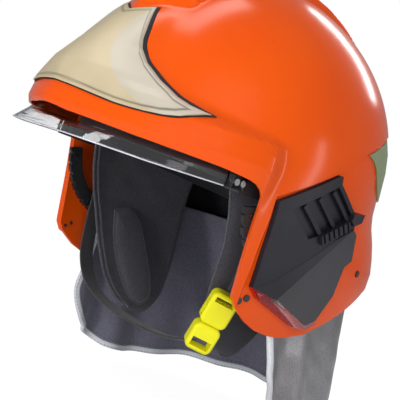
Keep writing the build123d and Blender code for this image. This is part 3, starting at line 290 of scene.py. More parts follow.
# Cloth: crossed waves of threads so many millimetres apart along the piece's own flat map, or a knit's pile
# where thread is 0, with heather over it
def clothFinish(name, low, high, thread=1.6, roughness=0.8, bump=0.00025, heather=90.0, sheen=0.25,
                metallic=0.0, blotch=0.3):
    material, tree, join, shader = newMaterial(name)
    crossed = node(tree, "ShaderNodeMath", operation="MAXIMUM")
    if thread:
        place = node(tree, "ShaderNodeTexCoord")
        for slot, direction in enumerate(("X", "Y")):
            wave = node(tree, "ShaderNodeTexWave", Scale=wavesPerThread / thread, Distortion=0.6,
                        Detail_Scale=2.0, bands_direction=direction)
            join(place.outputs["UV"], wave.inputs["Vector"])
            join(wave.outputs["Fac"], crossed.inputs[slot])
    else:
        join(noise(tree, cloth["pile"], 2.0), crossed.inputs[0])
    mixed = node(tree, "ShaderNodeMath", operation="MULTIPLY_ADD")
    join(crossed.outputs[0], mixed.inputs[0])
    mixed.inputs[1].default_value = cloth["pick"]
    join(noise(tree, heather * 8, 5.0), mixed.inputs[2])
    colour = ramp(tree, mixed.outputs[0], low, high, cloth["dark"], cloth["light"])
    tint = node(tree, "ShaderNodeMix", data_type="RGBA", blend_type="MULTIPLY")
    socket(tint.inputs, "Factor", "VALUE").default_value = blotch
    join(colour, socket(tint.inputs, "A"))
    join(noise(tree, cloth["patch"], 3.0), socket(tint.inputs, "B"))
    join(socket(tint.outputs, "Result"), shader.inputs["Base Color"])
    addRelief(tree, shader, mixed.outputs[0], 0.7, bump)
    setInputs(shader, {"Roughness": roughness, "Metallic": metallic, "Sheen Weight": sheen})
    return material


# Clear plastic, its tone faintly uneven
def clearFinish(name, tone, roughness):
    material, tree, join, shader = newMaterial(name)
    colour = ramp(tree, noise(tree, 30.0, 2.0), [v * 0.97 for v in tone], tone)
    join(colour, shader.inputs["Base Color"])
    setInputs(shader, {"Transmission Weight": 1.0, "Roughness": roughness, "IOR": 1.45})
    return material


finishes = {
    "shell_orange": solidFinish(
        "shellOrange", (0.76, 0.074, 0.0015), (0.79, 0.088, 0.002), roughness=0.2, roughSpread=0.03,
        grain=700, bump=0.000008, blotch=9, specular=0.26, tones=[(0.012, 0.012, 0.014)]),
    # the first painted tone is a painted reflection on the plate's wing, the second is the dark line inside
    # the border
    "plate_champagne": solidFinish(
        "plateChampagne", (0.56, 0.46, 0.29), (0.61, 0.51, 0.33), roughness=0.45, metallic=0.2, grain=1800,
        bump=0.00002, blotch=25, tones=[(0.58, 0.52, 0.42), (0.10, 0.085, 0.06)]),
    "gasket_black": solidFinish("gasketBlack", (0.012, 0.012, 0.013), (0.02, 0.02, 0.02), roughness=0.7),
    "reflector_green": solidFinish(
        "reflectorGreen", (0.22, 0.27, 0.13), (0.27, 0.32, 0.17), roughness=0.38, grain=900, bump=0.00006),
    "holder_charcoal": solidFinish(
        "holderCharcoal", (0.013, 0.012, 0.017), (0.020, 0.018, 0.026), roughness=0.42, grain=1500,
        bump=0.00004, specular=0.3),
    "lamp_charcoal": solidFinish(
        "lampCharcoal", (0.020, 0.018, 0.024), (0.030, 0.028, 0.036), roughness=0.3, grain=1500,
        bump=0.00003, specular=0.6),
    "lens_clear": clearFinish("lensClear", (0.93, 0.94, 0.95), roughness=0.05),
    "lamp_red": solidFinish(
        "lampRed", (0.42, 0.008, 0.008), (0.60, 0.02, 0.015), roughness=0.25, grain=220, bump=0.0003),
    "stud_black": solidFinish("studBlack", (0.02, 0.02, 0.022), (0.035, 0.035, 0.04), roughness=0.4),
    "shield_clear": clearFinish("shieldClear", (0.955, 0.965, 0.97), roughness=0.02),
    "arm_dark": solidFinish("armDark", (0.02, 0.02, 0.024), (0.035, 0.035, 0.04), roughness=0.4),
    "metal_bright": solidFinish(
        "metalBright", (0.16, 0.16, 0.17), (0.24, 0.24, 0.25), roughness=0.35, metallic=1.0),
    "guide_black": solidFinish("guideBlack", (0.010, 0.010, 0.011), (0.02, 0.02, 0.022), roughness=0.55),
    "foam_dark": solidFinish(
        "foamDark", (0.022, 0.022, 0.026), (0.036, 0.035, 0.041), roughness=0.85, grain=500, bump=0.0004,
        specular=0.2),
    "band_black": solidFinish("bandBlack", (0.018, 0.018, 0.021), (0.03, 0.03, 0.034), roughness=0.42),
    "web_black": clothFinish("webBlack", (0.010, 0.010, 0.012), (0.045, 0.045, 0.05), roughness=0.7),
    "pad_textile": clothFinish("padTextile", (0.035, 0.035, 0.042), (0.095, 0.094, 0.11), thread=0),
    "liner_grey": clothFinish(
        "linerGrey", (0.028, 0.027, 0.034), (0.085, 0.083, 0.10), thread=0, heather=110),
    "curtain_silver": clothFinish(
        "curtainSilver", (0.20, 0.195, 0.20), (0.34, 0.33, 0.34), roughness=0.33, bump=0.0001, sheen=0.05,
        metallic=0.9, blotch=0.05),
    "lining_dark": clothFinish("liningDark", (0.080, 0.077, 0.105), (0.21, 0.205, 0.27), sheen=0.3),
    "binding_pale": clothFinish(
        "bindingPale", (0.66, 0.68, 0.74), (0.88, 0.90, 0.95), thread=1.4, roughness=0.75),
    "buckle_yellow": solidFinish(
        "buckleYellow", (0.78, 0.74, 0.004), (0.86, 0.82, 0.01), roughness=0.42, grain=900, bump=0.00003),
}
slotOf = {part["node"]: part["material_slot"] for part in record["subparts"]}
for name, cadNode in nodes.items():
    for place in cadNode.material_slots:
        place.material = finishes[slotOf[name]]
print("stage: finishes", len(finishes))


# Gives a piece its finish and slot, and the body that it rides on
def dress(piece, slot, body="helmet"):
    piece.data.materials.append(finishes[slot])
    if body:
        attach(piece, body)
    return piece


# A padded or flat piece from its outer and inner grid
def closedPad(name, outside, inside, slot, facesOf=slabFaces):
    verts = np.vstack([outside.reshape(-1, 3), inside.reshape(-1, 3)])
    return dress(fixNormals(newPiece(name, verts, facesOf(*outside.shape[:2]), sharpAngle=60)), slot)


# Shell
shell = {
    "halfWidth": 121.0, "front": 127.0, "rear": 152.0, "middle": 2.0, "belt": 20.0, "crown": 149.0,
    "depth": 112.0, "stepDepth": 1.8, "wall": 2.6, "peakMiddle": -50.0, "peakRear": 60.0, "peakWall": 3.2,
    "peakTop": 106.0, "peakShare": 0.8, "peakLift": 0.7, "combHalf": 35.0, "combHeight": 5.5, "combSide": 4.0,
    "combFront": 9.0, "combRear": 70.0, "combAcross": [0, 19, 35], "combStart": [90, 97.5, 100], "blend": 40,
    "columns": 300, "temple": (-31, -15, 34), "lowRows": 60, "highRows": 124, "innerRows": 44,
    "almost": 0.998, "stepFrom": -36.0, "stepOver": 1.5, "rimToStep": 6.0, "stepGap": 0.5,
    "roundReach": 143.0, "farthest": 215.0, "innerShrink": 0.02, "topDrop": 0.3, "underTop": 4.4,
    "darkFrom": 40.0, "darkOver": 10.0, "darkAbove": 14.0, "darkRise": 6.0,
}
# depth as a share of the skirt's, half width and rear as shares, roundness in front and behind
skirtRows = np.array([
    (1.000, 0.909, 1.045, 2.50, 2.50), (0.930, 0.920, 1.054, 2.50, 2.50), (0.857, 0.930, 1.063, 2.50, 2.50),
    (0.786, 0.939, 1.072, 2.50, 2.50), (0.714, 0.946, 1.079, 2.50, 2.50), (0.536, 0.959, 1.089, 2.50, 2.50),
    (0.411, 0.967, 1.086, 2.50, 2.50), (0.313, 0.975, 1.072, 2.50, 2.40), (0.196, 0.983, 1.039, 2.50, 2.30),
    (0.089, 0.990, 0.995, 2.35, 2.20), (0.000, 0.994, 0.990, 2.20, 2.10), (-0.179, 1.000, 1.000, 2.00, 2.00)])
# height, half width, reach forward of the peak's middle, roundness
peakRows = np.array([
    (-112, 88, 66, 1.90), (-60, 102, 84, 1.80), (-20, 113, 104, 1.65), (0, 117, 109.8, 1.60),
    (9, 118.5, 113.5, 1.60), (17, 118, 111.8, 1.60), (25, 116, 108.5, 1.60), (30, 107, 107.8, 1.62),
    (35, 94, 107.3, 1.65), (40, 84, 105.6, 1.70), (50, 70, 98.6, 1.75), (60, 60, 90.6, 1.80),
    (76, 54, 76.5, 1.90), (91, 49, 62.9, 2.00), (106, 40, 48, 2.00)])
# lower edge and step seen from the side, as (y, z)
rimLine = np.array([(-212, 13.5), (-170, 9.5), (-158, 5.4), (-131, 2.8), (-83, 0), (-62.8, -2.6),
                    (-57.5, -4.2), (-52.6, -7.4), (-49.6, -11.5), (-48.7, -16.2), (-42, -83), (-37, -89.5),
                    (-22, -99), (-8, -104.2), (7, -106.2), (22, -105.6), (45, -100.5), (90, -77),
                    (118, -61), (144, -53), (168, -46)])
stepLine = np.array([(-212, 26), (-60, 4), (-50, 1), (-35, -8), (17, 21.5), (30, 31.5), (48, 43), (92, 61),
                     (168, 72)])


# How far dome and skirt reach from their middle: an ellipsoid over the belt, superellipses under it
def domeReach(turn, z, out):
    rise = shell["crown"] - shell["belt"] + out
    over = np.clip((z - shell["belt"]) / rise, 0, 1)
    shrink = np.sqrt(np.maximum(1 - over ** 2, 0))
    # under the belt the superellipse's size and roundness change with the height
    levels = -skirtRows[:, 0] * shell["depth"]
    half = np.interp(z, levels, skirtRows[:, 1]) * shell["halfWidth"] + out
    rear = np.interp(z, levels, skirtRows[:, 2]) * shell["rear"] + out
    power = np.where(np.sin(turn) > 0, np.interp(z, levels, skirtRows[:, 4]),
                     np.interp(z, levels, skirtRows[:, 3]))
    reach = np.where(np.sin(turn) > 0, rear, shell["front"] + out)
    # the ray meets |x / half|^power + |y / reach|^power = 1 at this length
    across, along = np.abs(np.cos(turn)) / half, np.abs(np.sin(turn)) / reach
    return shrink / (across ** power + along ** power) ** (1 / power)


# Half width, reach and roundness of the peak at a height
def peakAt(z, out):
    levels = peakRows[:, 0] + shell["peakLift"] * out
    half, reach, power = (np.interp(z, levels, peakRows[:, k]) for k in (1, 2, 3))
    return half + shell["peakShare"] * out, reach + shell["peakShare"] * out, power


# How far the peak reaches along a turn from the dome's middle, found by halving
def peakReach(turn, z, out):
    half, reach, power = peakAt(z, out)
    near, far = np.zeros_like(turn), np.full_like(turn, shell["farthest"])
    for _ in range(26):
        trial = (near + far) / 2
        along = trial * np.sin(turn) + shell["middle"] - shell["peakMiddle"]
        end = np.where(along < 0, reach, shell["peakRear"])
        inside = (np.abs(trial * np.cos(turn)) / half) ** power + (np.abs(along) / end) ** power < 1
        near, far = np.where(inside, trial, near), np.where(inside, far, trial)
    return near


# A point of the shell: the larger of dome and peak, with a tight blend where they meet
def shellPoint(turn, z, out, peakOut):
    turn, z, out = np.broadcast_arrays(*(np.asarray(given, float) for given in (turn, z, out)))
    dome = domeReach(turn, z, out)
    peak = peakReach(turn, z, peakOut)
    peak = np.where((np.sin(turn) < 0) & (z < shell["peakTop"] + shell["peakLift"] * peakOut), peak, 0.001)
    # (dome^n + peak^n)^(1 / n) is the larger of the two, rounded where they are nearly the same
    most = np.maximum(dome, peak)
    least = np.minimum(dome, peak)
    reach = most * (1 + (least / np.maximum(most, 0.001)) ** shell["blend"]) ** (1 / shell["blend"])
    return toPoints(reach * np.cos(turn), shell["middle"] + reach * np.sin(turn), z)


# 0 off the comb, 1 on it, with a narrow slope at its edges
def combAmount(p):
    x, y, z = np.abs(p[..., 0]), p[..., 1], p[..., 2]
    edge = smoothStep((shell["combHalf"] - x) / shell["combSide"])
    front = np.interp(x, shell["combAcross"], shell["combStart"])
    start = np.where(y < 0, smoothStep((z - front) / shell["combFront"]),
                     smoothStep((z - shell["combRear"]) / shell["combSide"]))
    return edge * start


# Columns run round the helmet, rows from the rim over the step line to the crown
def buildShell():
    templeFrom, templeTo, templeColumns = shell["temple"]
    temple = np.linspace(radians(templeFrom), radians(templeTo), templeColumns)
    evenly = np.linspace(0, 2 * pi, shell["columns"], endpoint=False)
    turns = np.concatenate([evenly, temple % (2 * pi), pi - temple])
    turns = np.unique(np.round(turns, 5))
    rim = np.zeros_like(turns)
    step = np.full_like(turns, 10.0)
    for _ in range(14):
        rim = np.interp(shellPoint(turns, rim, 0.0, 0.0)[:, 1], rimLine[:, 0], rimLine[:, 1])
        step = np.interp(shellPoint(turns, step, 0.0, 0.0)[:, 1], stepLine[:, 0], stepLine[:, 1])
    step = np.maximum(step, rim + shell["rimToStep"])
    rise = shell["crown"] - shell["belt"]

    # Heights over the belt are spaced evenly along the dome's own arc
    def toArc(z):
        over = np.clip((z - shell["belt"]) / rise, 0, 1)
        return np.where(z < shell["belt"], z - shell["belt"], rise * np.arcsin(over))

    def fromArc(q):
        return shell["belt"] + np.where(q < 0, q, rise * np.sin(np.clip(q / rise, 0, pi / 2)))

    lowPart = np.linspace(0, 1, shell["lowRows"])[:, None]
    highPart = np.linspace(0, shell["almost"], shell["highRows"])[:, None]
    lowZ = rim + (step - rim) * lowPart
    q0, q1 = toArc(step + shell["stepGap"]), rise * pi / 2
    highZ = fromArc(q0 + (q1 - q0) * highPart)
    z = np.vstack([lowZ, highZ])
    flat = shellPoint(turns, z, 0.0, 0.0)
    sunk = np.zeros_like(z)
    behind = (flat[:shell["lowRows"], :, 1] - shell["stepFrom"]) / shell["stepOver"]
    sunk[:shell["lowRows"]] = -shell["stepDepth"] * smoothStep(behind)
    outer = shellPoint(turns, z, sunk, 0.0)
    # the comb is lifted along the normal of the dome's ellipsoid
    normal = toPoints(outer[..., 0] / shell["halfWidth"] ** 2,
                      (outer[..., 1] - shell["middle"]) / shell["roundReach"] ** 2,
                      np.maximum(outer[..., 2] - shell["belt"], 0) / rise ** 2)
    outer = outer + unit(normal) * (shell["combHeight"] * combAmount(outer))[..., None]
    innerPart = np.linspace(0, shell["almost"], shell["innerRows"])[:, None]
    start = toArc(rim)
    innerZ = fromArc(start + (q1 - start) * innerPart) * (1 - shell["innerShrink"] * innerPart)
    inner = shellPoint(turns, innerZ, -shell["stepDepth"] - shell["wall"], -shell["peakWall"])
    rows, columns = z.shape[0], len(turns)
    tops = [(0, shell["middle"], shell["crown"] + shell["combHeight"] - shell["topDrop"]),
            (0, shell["middle"], shell["crown"] - shell["underTop"])]
    verts = np.vstack([outer.reshape(-1, 3), inner.reshape(-1, 3), tops])
    innerStart = rows * columns
    faces = gridFaces(rows, columns, closed=True).tolist()
    faces += gridFaces(shell["innerRows"], columns, closed=True, start=innerStart, flip=True).tolist()
    c = np.arange(columns)
    n = (c + 1) % columns
    faces += np.stack([n, c, innerStart + c, innerStart + n], axis=1).tolist()
    last = (rows - 1) * columns
    faces += np.stack([last + c, last + n, np.full(columns, len(verts) - 2)], axis=1).tolist()
    last = innerStart + (shell["innerRows"] - 1) * columns
    faces += np.stack([last + n, last + c, np.full(columns, len(verts) - 1)], axis=1).tolist()
    piece = newPiece("shellSkin", verts, faces, sharpAngle=28)
    # the inner face is painted dark behind and above, where the cap lies against it
    within = np.zeros(len(verts))
    within[innerStart + columns:] = 1
    dark = np.maximum(smoothStep((verts[:, 1] - shell["darkFrom"]) / shell["darkOver"]),
                      smoothStep((verts[:, 2] - shell["darkAbove"]) / shell["darkRise"])) * within
    return paintTone(piece, np.stack([dark, 0 * dark, 0 * dark], axis=1))


shellSkin = dress(buildShell(), "shell_orange")
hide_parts("outer_shell")
print("stage: shell")

# Front plate
plate = {"stand": 1.05, "thickness": 1.4, "columns": 90, "rows": 60, "half": 91.0, "slant": 0.8,
         "lineInset": 3.0, "lineWidth": 0.7, "lineDepth": 0.3, "lineTone": 0.8, "valley": 0.9,
         "valleyOut": 6.0, "valleyIn": 9.0, "roundEdge": 0.9, "roundDepth": 0.5, "creaseWidth": 1.2}
# outline of the wearer's left half seen from the front, and the crease where the wing starts, as (x, z)
plateCrease = np.array([(19, 78), (21.5, 72), (25, 60), (33, 45), (44, 31), (55, 21.5), (66, 16.5),
                        (75, 14.5), (84, 14), (92, 16.2)], float)
plateLow = [(0, 24), (15, 23.2), (28, 22.1), (39, 21), (50.5, 19.9), (59, 19.9), (67, 20.3), (77, 21.6),
            (84, 24), (88, 27.2), (91, 31.0)]
plateHigh = [(0, 88), (17, 94.5), (21.5, 85.7), (26, 76.8), (30, 68), (34, 61.3), (43, 52.7), (56, 44.1),
             (71, 36.2), (80, 33.3), (91, 31.4)]


# The plate follows the shell grown by out, at the turn where peak or dome lies at that x
def plateSurface(x, z, out):
    half, reach, power = peakAt(z, out)
    peak = shell["peakMiddle"] - reach * np.maximum(1 - (np.abs(x) / half) ** power, 0) ** (1 / power)
    rise = shell["crown"] - shell["belt"] + out
    shrink = np.sqrt(1 - np.clip((z - shell["belt"]) / rise, 0, 0.999) ** 2)
    wide = np.clip(np.abs(x) / ((shell["halfWidth"] + out) * shrink), 0, 0.999)
    dome = shell["middle"] - (shell["front"] + out) * shrink * np.sqrt(1 - wide ** 2)
    turn = np.arctan2(np.minimum(peak, dome) - shell["middle"], x)
    return shellPoint(turn, z, out, out)


# Straight lines from the low edge to the high edge, laid on the peak, with a fine groove inside the border
# and a shallow valley along the crease
def buildPlate():
    knots = np.linspace(0, 1, len(plateLow))
    fine = np.linspace(0, 1, plate["columns"])
    low, high = (np.stack([np.interp(fine, knots, [p[k] for p in line]) for k in (0, 1)], axis=1)
                 for line in (plateLow, plateHigh))
    low, high = (np.vstack([line[:0:-1] * [-1, 1], line]) for line in (low, high))
    v = np.linspace(0, 1, plate["rows"])[:, None]
    x = low[:, 0] + (high[:, 0] - low[:, 0]) * v
    z = low[:, 1] + (high[:, 1] - low[:, 1]) * v
    tall = np.maximum(high[:, 1] - low[:, 1], 0.1)
    fromEdge = np.minimum(np.minimum(v, 1 - v) * tall, (plate["half"] - np.abs(x)) * plate["slant"])
    line = np.exp(-((fromEdge - plate["lineInset"]) / plate["lineWidth"]) ** 2)
    roundOff = np.clip(1 - fromEdge / plate["roundEdge"], 0, 1) ** 2 * plate["roundDepth"]
    past = np.abs(x) - np.interp(z, plateCrease[:, 0], plateCrease[:, 1])
    side = np.where(past > 0, plate["valleyOut"], plate["valleyIn"])
    valley = plate["valley"] * np.exp(-(past / side) ** 2)
    front = plateSurface(x, z, plate["stand"] + plate["thickness"])
    front[..., 1] += plate["lineDepth"] * line + roundOff + valley
    back = plateSurface(x, z, plate["stand"])
    verts = np.vstack([front.reshape(-1, 3), back.reshape(-1, 3)])
    # painted reflection: past the crease the wing is tinted paler and greyer, standing in for the light that
    # the bent-down wing reflects
    wingReflection = smoothStep(past / plate["creaseWidth"])
    tone = np.stack([wingReflection, line * plate["lineTone"], 0 * wingReflection], axis=-1).reshape(-1, 3)
    piece = fixNormals(newPiece("brassPlate", verts, slabFaces(*x.shape), sharpAngle=50))
    return paintTone(piece, np.vstack([tone, tone]))


frontPlate = dress(buildPlate(), "plate_champagne")
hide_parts("front_plate")
print("stage: front plate")

# Neck curtain
curtain = {"power": 2.9, "top": -42.0, "folds": 9, "foldDepth": 3.5, "columns": 260, "rows": 90, "layer": 1.4,
           "wrinkle": 0.3, "drape": 4.2, "swing": 17, "foldTop": -40.0, "foldLength": 146.0, "cloth": 1.0,
           "liningGap": 0.25, "lowest": -175.0, "reach": 105.0, "edgeRow": 22, "seamStand": 1.1}
# height, half width, front and rear reach
curtainRows = np.array([(-186, 103, 110, 159), (-150, 104.5, 112, 156), (-120, 104, 112, 153),
                        (-95, 102.5, 108, 151), (-70, 101, 104, 149), (-40, 99, 100, 146)], float)
# front edges as (y, z), and the hem's height along y
curtainFar = smoothLine([(34, -42), (-4, -70), (-7, -90), (-7, -112), (-8, -134), (2, -155), (14, -166)], 80)
curtainNear = smoothLine([(34, -42), (8, -70), (9, -92), (14, -108), (20, -124), (26, -137), (38, -150),
                          (48, -166)], 80)
curtainHem = np.array([(-200, -165), (8, -165), (18, -171), (36, -178), (60, -180), (100, -176), (166, -166)])


# A superellipse at each height, with folds that grow towards the hem and finer creases over them
def curtainPoint(turn, z, inset):
    half, front, rear = (np.interp(z, curtainRows[:, 0], curtainRows[:, k]) - inset for k in (1, 2, 3))
    reach = np.where(np.sin(turn) > 0, rear, front)
    p = curtain["power"]
    radius = ((np.abs(np.cos(turn)) / half) ** p + (np.abs(np.sin(turn)) / reach) ** p) ** (-1 / p)
    x, y = radius * np.cos(turn), radius * np.sin(turn)
    drop = np.clip((curtain["foldTop"] - z) / curtain["foldLength"], 0, 1)
    wave = curtain["foldDepth"] * drop ** 2 * np.cos(curtain["folds"] * np.arctan2(x, y))
    # three slanting waves of different lengths make the small creases
    crease = (np.sin(x * 0.11 + z * 0.17 + 1.3) * np.sin(y * 0.09 - z * 0.11)
              + 0.5 * np.sin(y * 0.21 + z * 0.31 + x * 0.1) + 0.35 * np.sin(x * 0.33 - z * 0.24 + 2.0))
    crease = curtain["wrinkle"] * drop * crease
    # and the broad folds run down the cloth, swaying a little on the way
    swing = np.arctan2(y, np.abs(x) + 1) * curtain["swing"] + z * 0.012 + 0.4 * np.sin(z * 0.05)
    bulge = wave + crease + curtain["drape"] * drop * np.sin(swing)
    return toPoints(x * (1 + bulge / half), y * (1 + bulge / rear), z)


# Rows hang from the rail to the hem; columns run from one front edge round the back to the other
def curtainGrid(inset):
    v = np.linspace(0, 1, curtain["rows"])[:, None]
    u = np.linspace(0, 1, curtain["columns"])[None, :]
    hem = np.full((curtain["rows"], curtain["columns"]), curtain["lowest"])
    for _ in range(4):
        z = curtain["top"] + (hem - curtain["top"]) * v
        ends = []
        for line in (curtainNear, curtainFar):
            edgeY = np.interp(-z, -line[:, 1], line[:, 0])
            start = np.zeros_like(z)
            for _ in range(8):
                y = curtainPoint(start, z, inset)[..., 1]
                start = start + np.clip((edgeY - y) / curtain["reach"], -0.3, 0.3)
            ends.append(start)
        turn = ends[0] + (pi - ends[1] - ends[0]) * u
        hem = np.interp(curtainPoint(turn, z, inset)[..., 1], curtainHem[:, 0], curtainHem[:, 1])
    return curtainPoint(turn, z, inset)


# Flat cloth lengths along rows and columns
def sheetUv(grid):
    across, down = runAlong(grid, 1), runAlong(grid, 0)
    middle = grid.shape[1] // 2
    across = across - across[:, middle:middle + 1]
    return np.stack([across, down], axis=-1)


# The sum of the areas of the grid's cells
def sheetArea(grid):
    a = grid[1:, :-1] - grid[:-1, :-1]
    b = grid[:-1, 1:] - grid[:-1, :-1]
    return float(np.linalg.norm(np.cross(a, b), axis=-1).sum())


# A cloth with its flat size and area, thickened inwards
def buildSheet(name, grid, slot):
    uv = sheetUv(grid)
    piece = newPiece(name, grid.reshape(-1, 3), gridFaces(*grid.shape[:2], flip=True), uv=uv.reshape(-1, 2),
                     sharpAngle=60)
    solid = piece.modifiers.new("thickness", "SOLIDIFY")
    solid.thickness = curtain["cloth"] * toMetres
    solid.offset = -1
    dress(piece, slot)
    width = float(uv[..., 0].max() - uv[..., 0].min()) * toMetres
    length = float(uv[..., 1].max()) * toMetres
    return piece, (width, length), sheetArea(grid) * toMetres ** 2


outerGrid = curtainGrid(0.0)
liningGrid = curtainGrid(curtain["layer"] + curtain["liningGap"])
neckCurtain, flatOuter, areaOuter = buildSheet("curtainCloth", outerGrid, "curtain_silver")
curtainLining, flatLining, areaLining = buildSheet("curtainInside", liningGrid, "lining_dark")
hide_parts("neck_curtain")
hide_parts("curtain_lining")


# Unit normals of a grid, turned away from the head
def gridNormals(grid):
    down = np.gradient(grid, axis=0)
    across = np.gradient(grid, axis=1)
    normal = unit(np.cross(down, across))
    outward = grid * [1, 1, 0]
    return np.where((normal * outward).sum(-1, keepdims=True) < 0, -normal, normal)


middleGrid = curtainGrid(curtain["layer"])
normals = gridNormals(middleGrid)


# Down one front edge, along the hem and up the other
def edgeOf(grid):
    return np.vstack([grid[curtain["edgeRow"]:, 0], grid[-1, 1:-1], grid[curtain["edgeRow"]:, -1][::-1]])


edging = {"width": 5.0, "thickness": 4.0, "steps": 16, "power": 3.5, "shift": -1.2, "seam": 1.9}
profile = roundedBox(edging["width"], edging["thickness"], edging["steps"], edging["power"])
binding = sweep("curtainEdge", edgeOf(middleGrid), edgeOf(normals), profile + [edging["shift"], 0])
dress(binding, "binding_pale")
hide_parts("curtain_binding")


# Short rounded stitches along a path, all in one mesh
def stitches(name, path, outward, slot, length=2.4, gap=1.6, width=0.5, stand=0.15):
    run = runAlong(path)
    starts = np.arange(1, run[-1] - length, length + gap)
    at = starts[:, None] + np.linspace(0, length, 4)[None, :]
    line = np.stack([np.interp(at, run, path[:, k]) for k in range(3)], axis=-1)
    out = unit(np.stack([np.interp(at, run, outward[:, k]) for k in range(3)], axis=-1))
    tangent = unit(np.gradient(line, axis=1))
    side = np.cross(tangent, out)
    ring = circle(width / 2, 6)[None, None, :, :, None]
    # a stitch is thinner at its two ends
    bow = np.array([0.35, 1.0, 1.0, 0.35])[None, :, None, None]
    spread = ring[..., 0, :] * side[:, :, None, :] + ring[..., 1, :] * out[:, :, None, :]
    rings = line[:, :, None, :] + out[:, :, None, :] * stand + bow * spread
    count, steps, sides = rings.shape[:3]
    faces = gridFaces(steps, sides, closed=True)
    faces = (faces[None] + (np.arange(count) * steps * sides)[:, None, None]).reshape(-1, 4)
    piece = newPiece(name, rings.reshape(-1, 3), faces.tolist(), uv=rings.reshape(-1, 3)[:, :2])
    return dress(piece, slot)


# A line some columns in from both front edges, from the given row down, and some rows up from the hem
def seamOf(grid, inset=7, start=24, up=4):
    return np.vstack([grid[start:-up, inset], grid[-up - 1, inset:-inset], grid[start:-up, -inset][::-1]])


seamOut = seamOf(-gridNormals(liningGrid))
stitches("liningStitch", seamOf(liningGrid) + seamOut * curtain["seamStand"], seamOut, "liner_grey")
edgeIn = -edgeOf(normals)
stitches("bindingStitch", edgeOf(middleGrid) + edgeIn * edging["seam"], edgeIn, "lining_dark", length=1.8,
         gap=1.4, width=0.45)
print("stage: curtain")

# Ear liners and pads
liner = {"power": 2.4, "thickness": 4.0, "rows": 60, "columns": 50, "top": -5.0, "drop": 131.0, "hem": 1.5,
         "roll": 3.0, "ripple": 0.5, "piping": 1.1, "pipings": (0.6, 4.6), "pipingSink": 0.3}
earPad = {"rings": 22, "gap": 0.3, "sink": 1.4, "crown": 7.0, "piping": 1.0}
# height, half width, front and rear reach
linerRows = np.array([(-145, 58, 83, 112), (-124, 63, 88, 116), (-97, 71, 96, 122), (-70, 80, 102, 126),
                      (-50, 87, 106, 128), (-30, 90.5, 108, 128), (-2, 91, 108, 128)], float)
# front and rear line as (y, z)
linerFront = smoothLine([(-50, -5), (-42, -32), (-33, -60), (-25, -88), (-14, -112), (2, -128),
                         (18, -136)], 60)
linerRear = smoothLine([(66, -5), (62, -50), (56, -90), (48, -118), (36, -134), (26, -137)], 60)


# x on the liner's superellipse |x / half|^power + |y / reach|^power = 1 at a place seen from the side
def linerX(y, z, inset):
    half, front, rear = (np.interp(z, linerRows[:, 0], linerRows[:, k]) - inset for k in (1, 2, 3))
    reach = np.where(y > 0, rear, front)
    p = liner["power"]
    return half * np.maximum(1 - (np.abs(y) / reach) ** p, 0.01) ** (1 / p)


# A round cord along a seam
def pipingOf(name, path, radius, steps, closed=False):
    outward = np.tile([1.0, 0, 0], (len(path), 1))
    return dress(sweep(name, path, outward, circle(radius, steps), closed=closed), "pad_textile")


# A flap between its front and rear line, rolled off at its free edges, with two rows of piping
def buildLiner(side, word):
    v = np.linspace(0, 1, liner["rows"])[:, None]
    u = np.linspace(0, 1, liner["columns"])[None, :]
    z = liner["top"] - liner["drop"] * v
    low = np.interp(-z, -linerFront[:, 1], linerFront[:, 0])
    high = np.interp(-z, -linerRear[:, 1], linerRear[:, 0])
    y = low + (high - low) * u
    z = z - liner["hem"] * (1 - (2 * u - 1) ** 2) * v ** 6
    edge = np.minimum(np.minimum(u, 1 - u) * (high - low), (1 - v) * liner["drop"])
    puff = 1 - np.exp(-edge / liner["roll"])
    middle = liner["thickness"] / 2
    ripple = liner["ripple"] * np.sin(y * 0.16 + z * 0.09) * np.sin(z * 0.13)
    outside = toPoints(side * (linerX(y, z, middle) + middle * puff), y, z)
    inside = toPoints(side * (linerX(y, z, middle) - (middle + ripple) * puff), y, z)
    piece = closedPad(f"earLiner{word}", outside, inside, "liner_grey")
    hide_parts(f"ear_liner_{word.lower()}")
    for number, shift in enumerate(liner["pipings"]):
        line = linerFront[3:-3] + [shift, 0]
        x = linerX(line[:, 0], line[:, 1], middle) - middle * (1 - np.exp(-shift / liner["roll"]))
        x = x - liner["pipingSink"]
        pipingOf(f"linerPiping{word}{number}", np.column_stack([side * x, line]), liner["piping"], 10)


# the pad's outline as (y, z), its first point dropped at the end because the line is closed
earPadOutline = smoothLine([(-12, -60), (2, -56), (14, -62), (24, -84), (32, -108), (33, -122), (25, -129),
                            (12, -124), (-1, -106), (-10, -84), (-12, -60)], 81)[:-1]


# Rings shrink towards the middle; the pad crowns inwards and pulls in at its piping
def buildEarPad(side, word):
    rings = np.linspace(1, 0.02, earPad["rings"])[:, None, None]
    middle = earPadOutline.mean(axis=0)
    flat = middle + (earPadOutline - middle)[None] * rings
    y, z = flat[..., 0], flat[..., 1]
    crown = np.sqrt(np.maximum(1 - rings[..., 0] ** 3.0, 0))
    seatInset = liner["thickness"] + earPad["gap"]
    seat = linerX(y, z, seatInset)
    outside = toPoints(side * (seat - earPad["sink"] * (1 - crown)), y, z)
    inside = toPoints(side * (seat - earPad["sink"] - earPad["crown"] * crown), y, z)
    piece = closedPad(f"earPad{word}", outside, inside, "liner_grey", roundFaces)
    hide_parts(f"ear_pad_{word.lower()}")
    x = linerX(earPadOutline[:, 0], earPadOutline[:, 1], seatInset) - earPad["sink"]
    pipingOf(f"padPiping{word}", np.column_stack([side * x, earPadOutline]), earPad["piping"], 8, closed=True)


for side, word in ((1, "Left"), (-1, "Right")):
    buildLiner(side, word)
    buildEarPad(side, word)
print("stage: ear liners and pads")

# Brow pad and crown pad
brow = {"half": 79.6, "front": 94.6, "middle": 2.0, "gap": 0.3, "least": 1.9, "thickness": 7.0, "reach": 59.0,
        "channels": 5, "seamSpan": 0.75, "seamDepth": 0.55, "seamWidth": 2.5, "endRoll": 3.0, "backPull": 1.5,
        "low": -1.2, "tall": 23.0, "tilt": 0.115, "tiltFrom": -98.0, "columns": 160, "rows": 26}


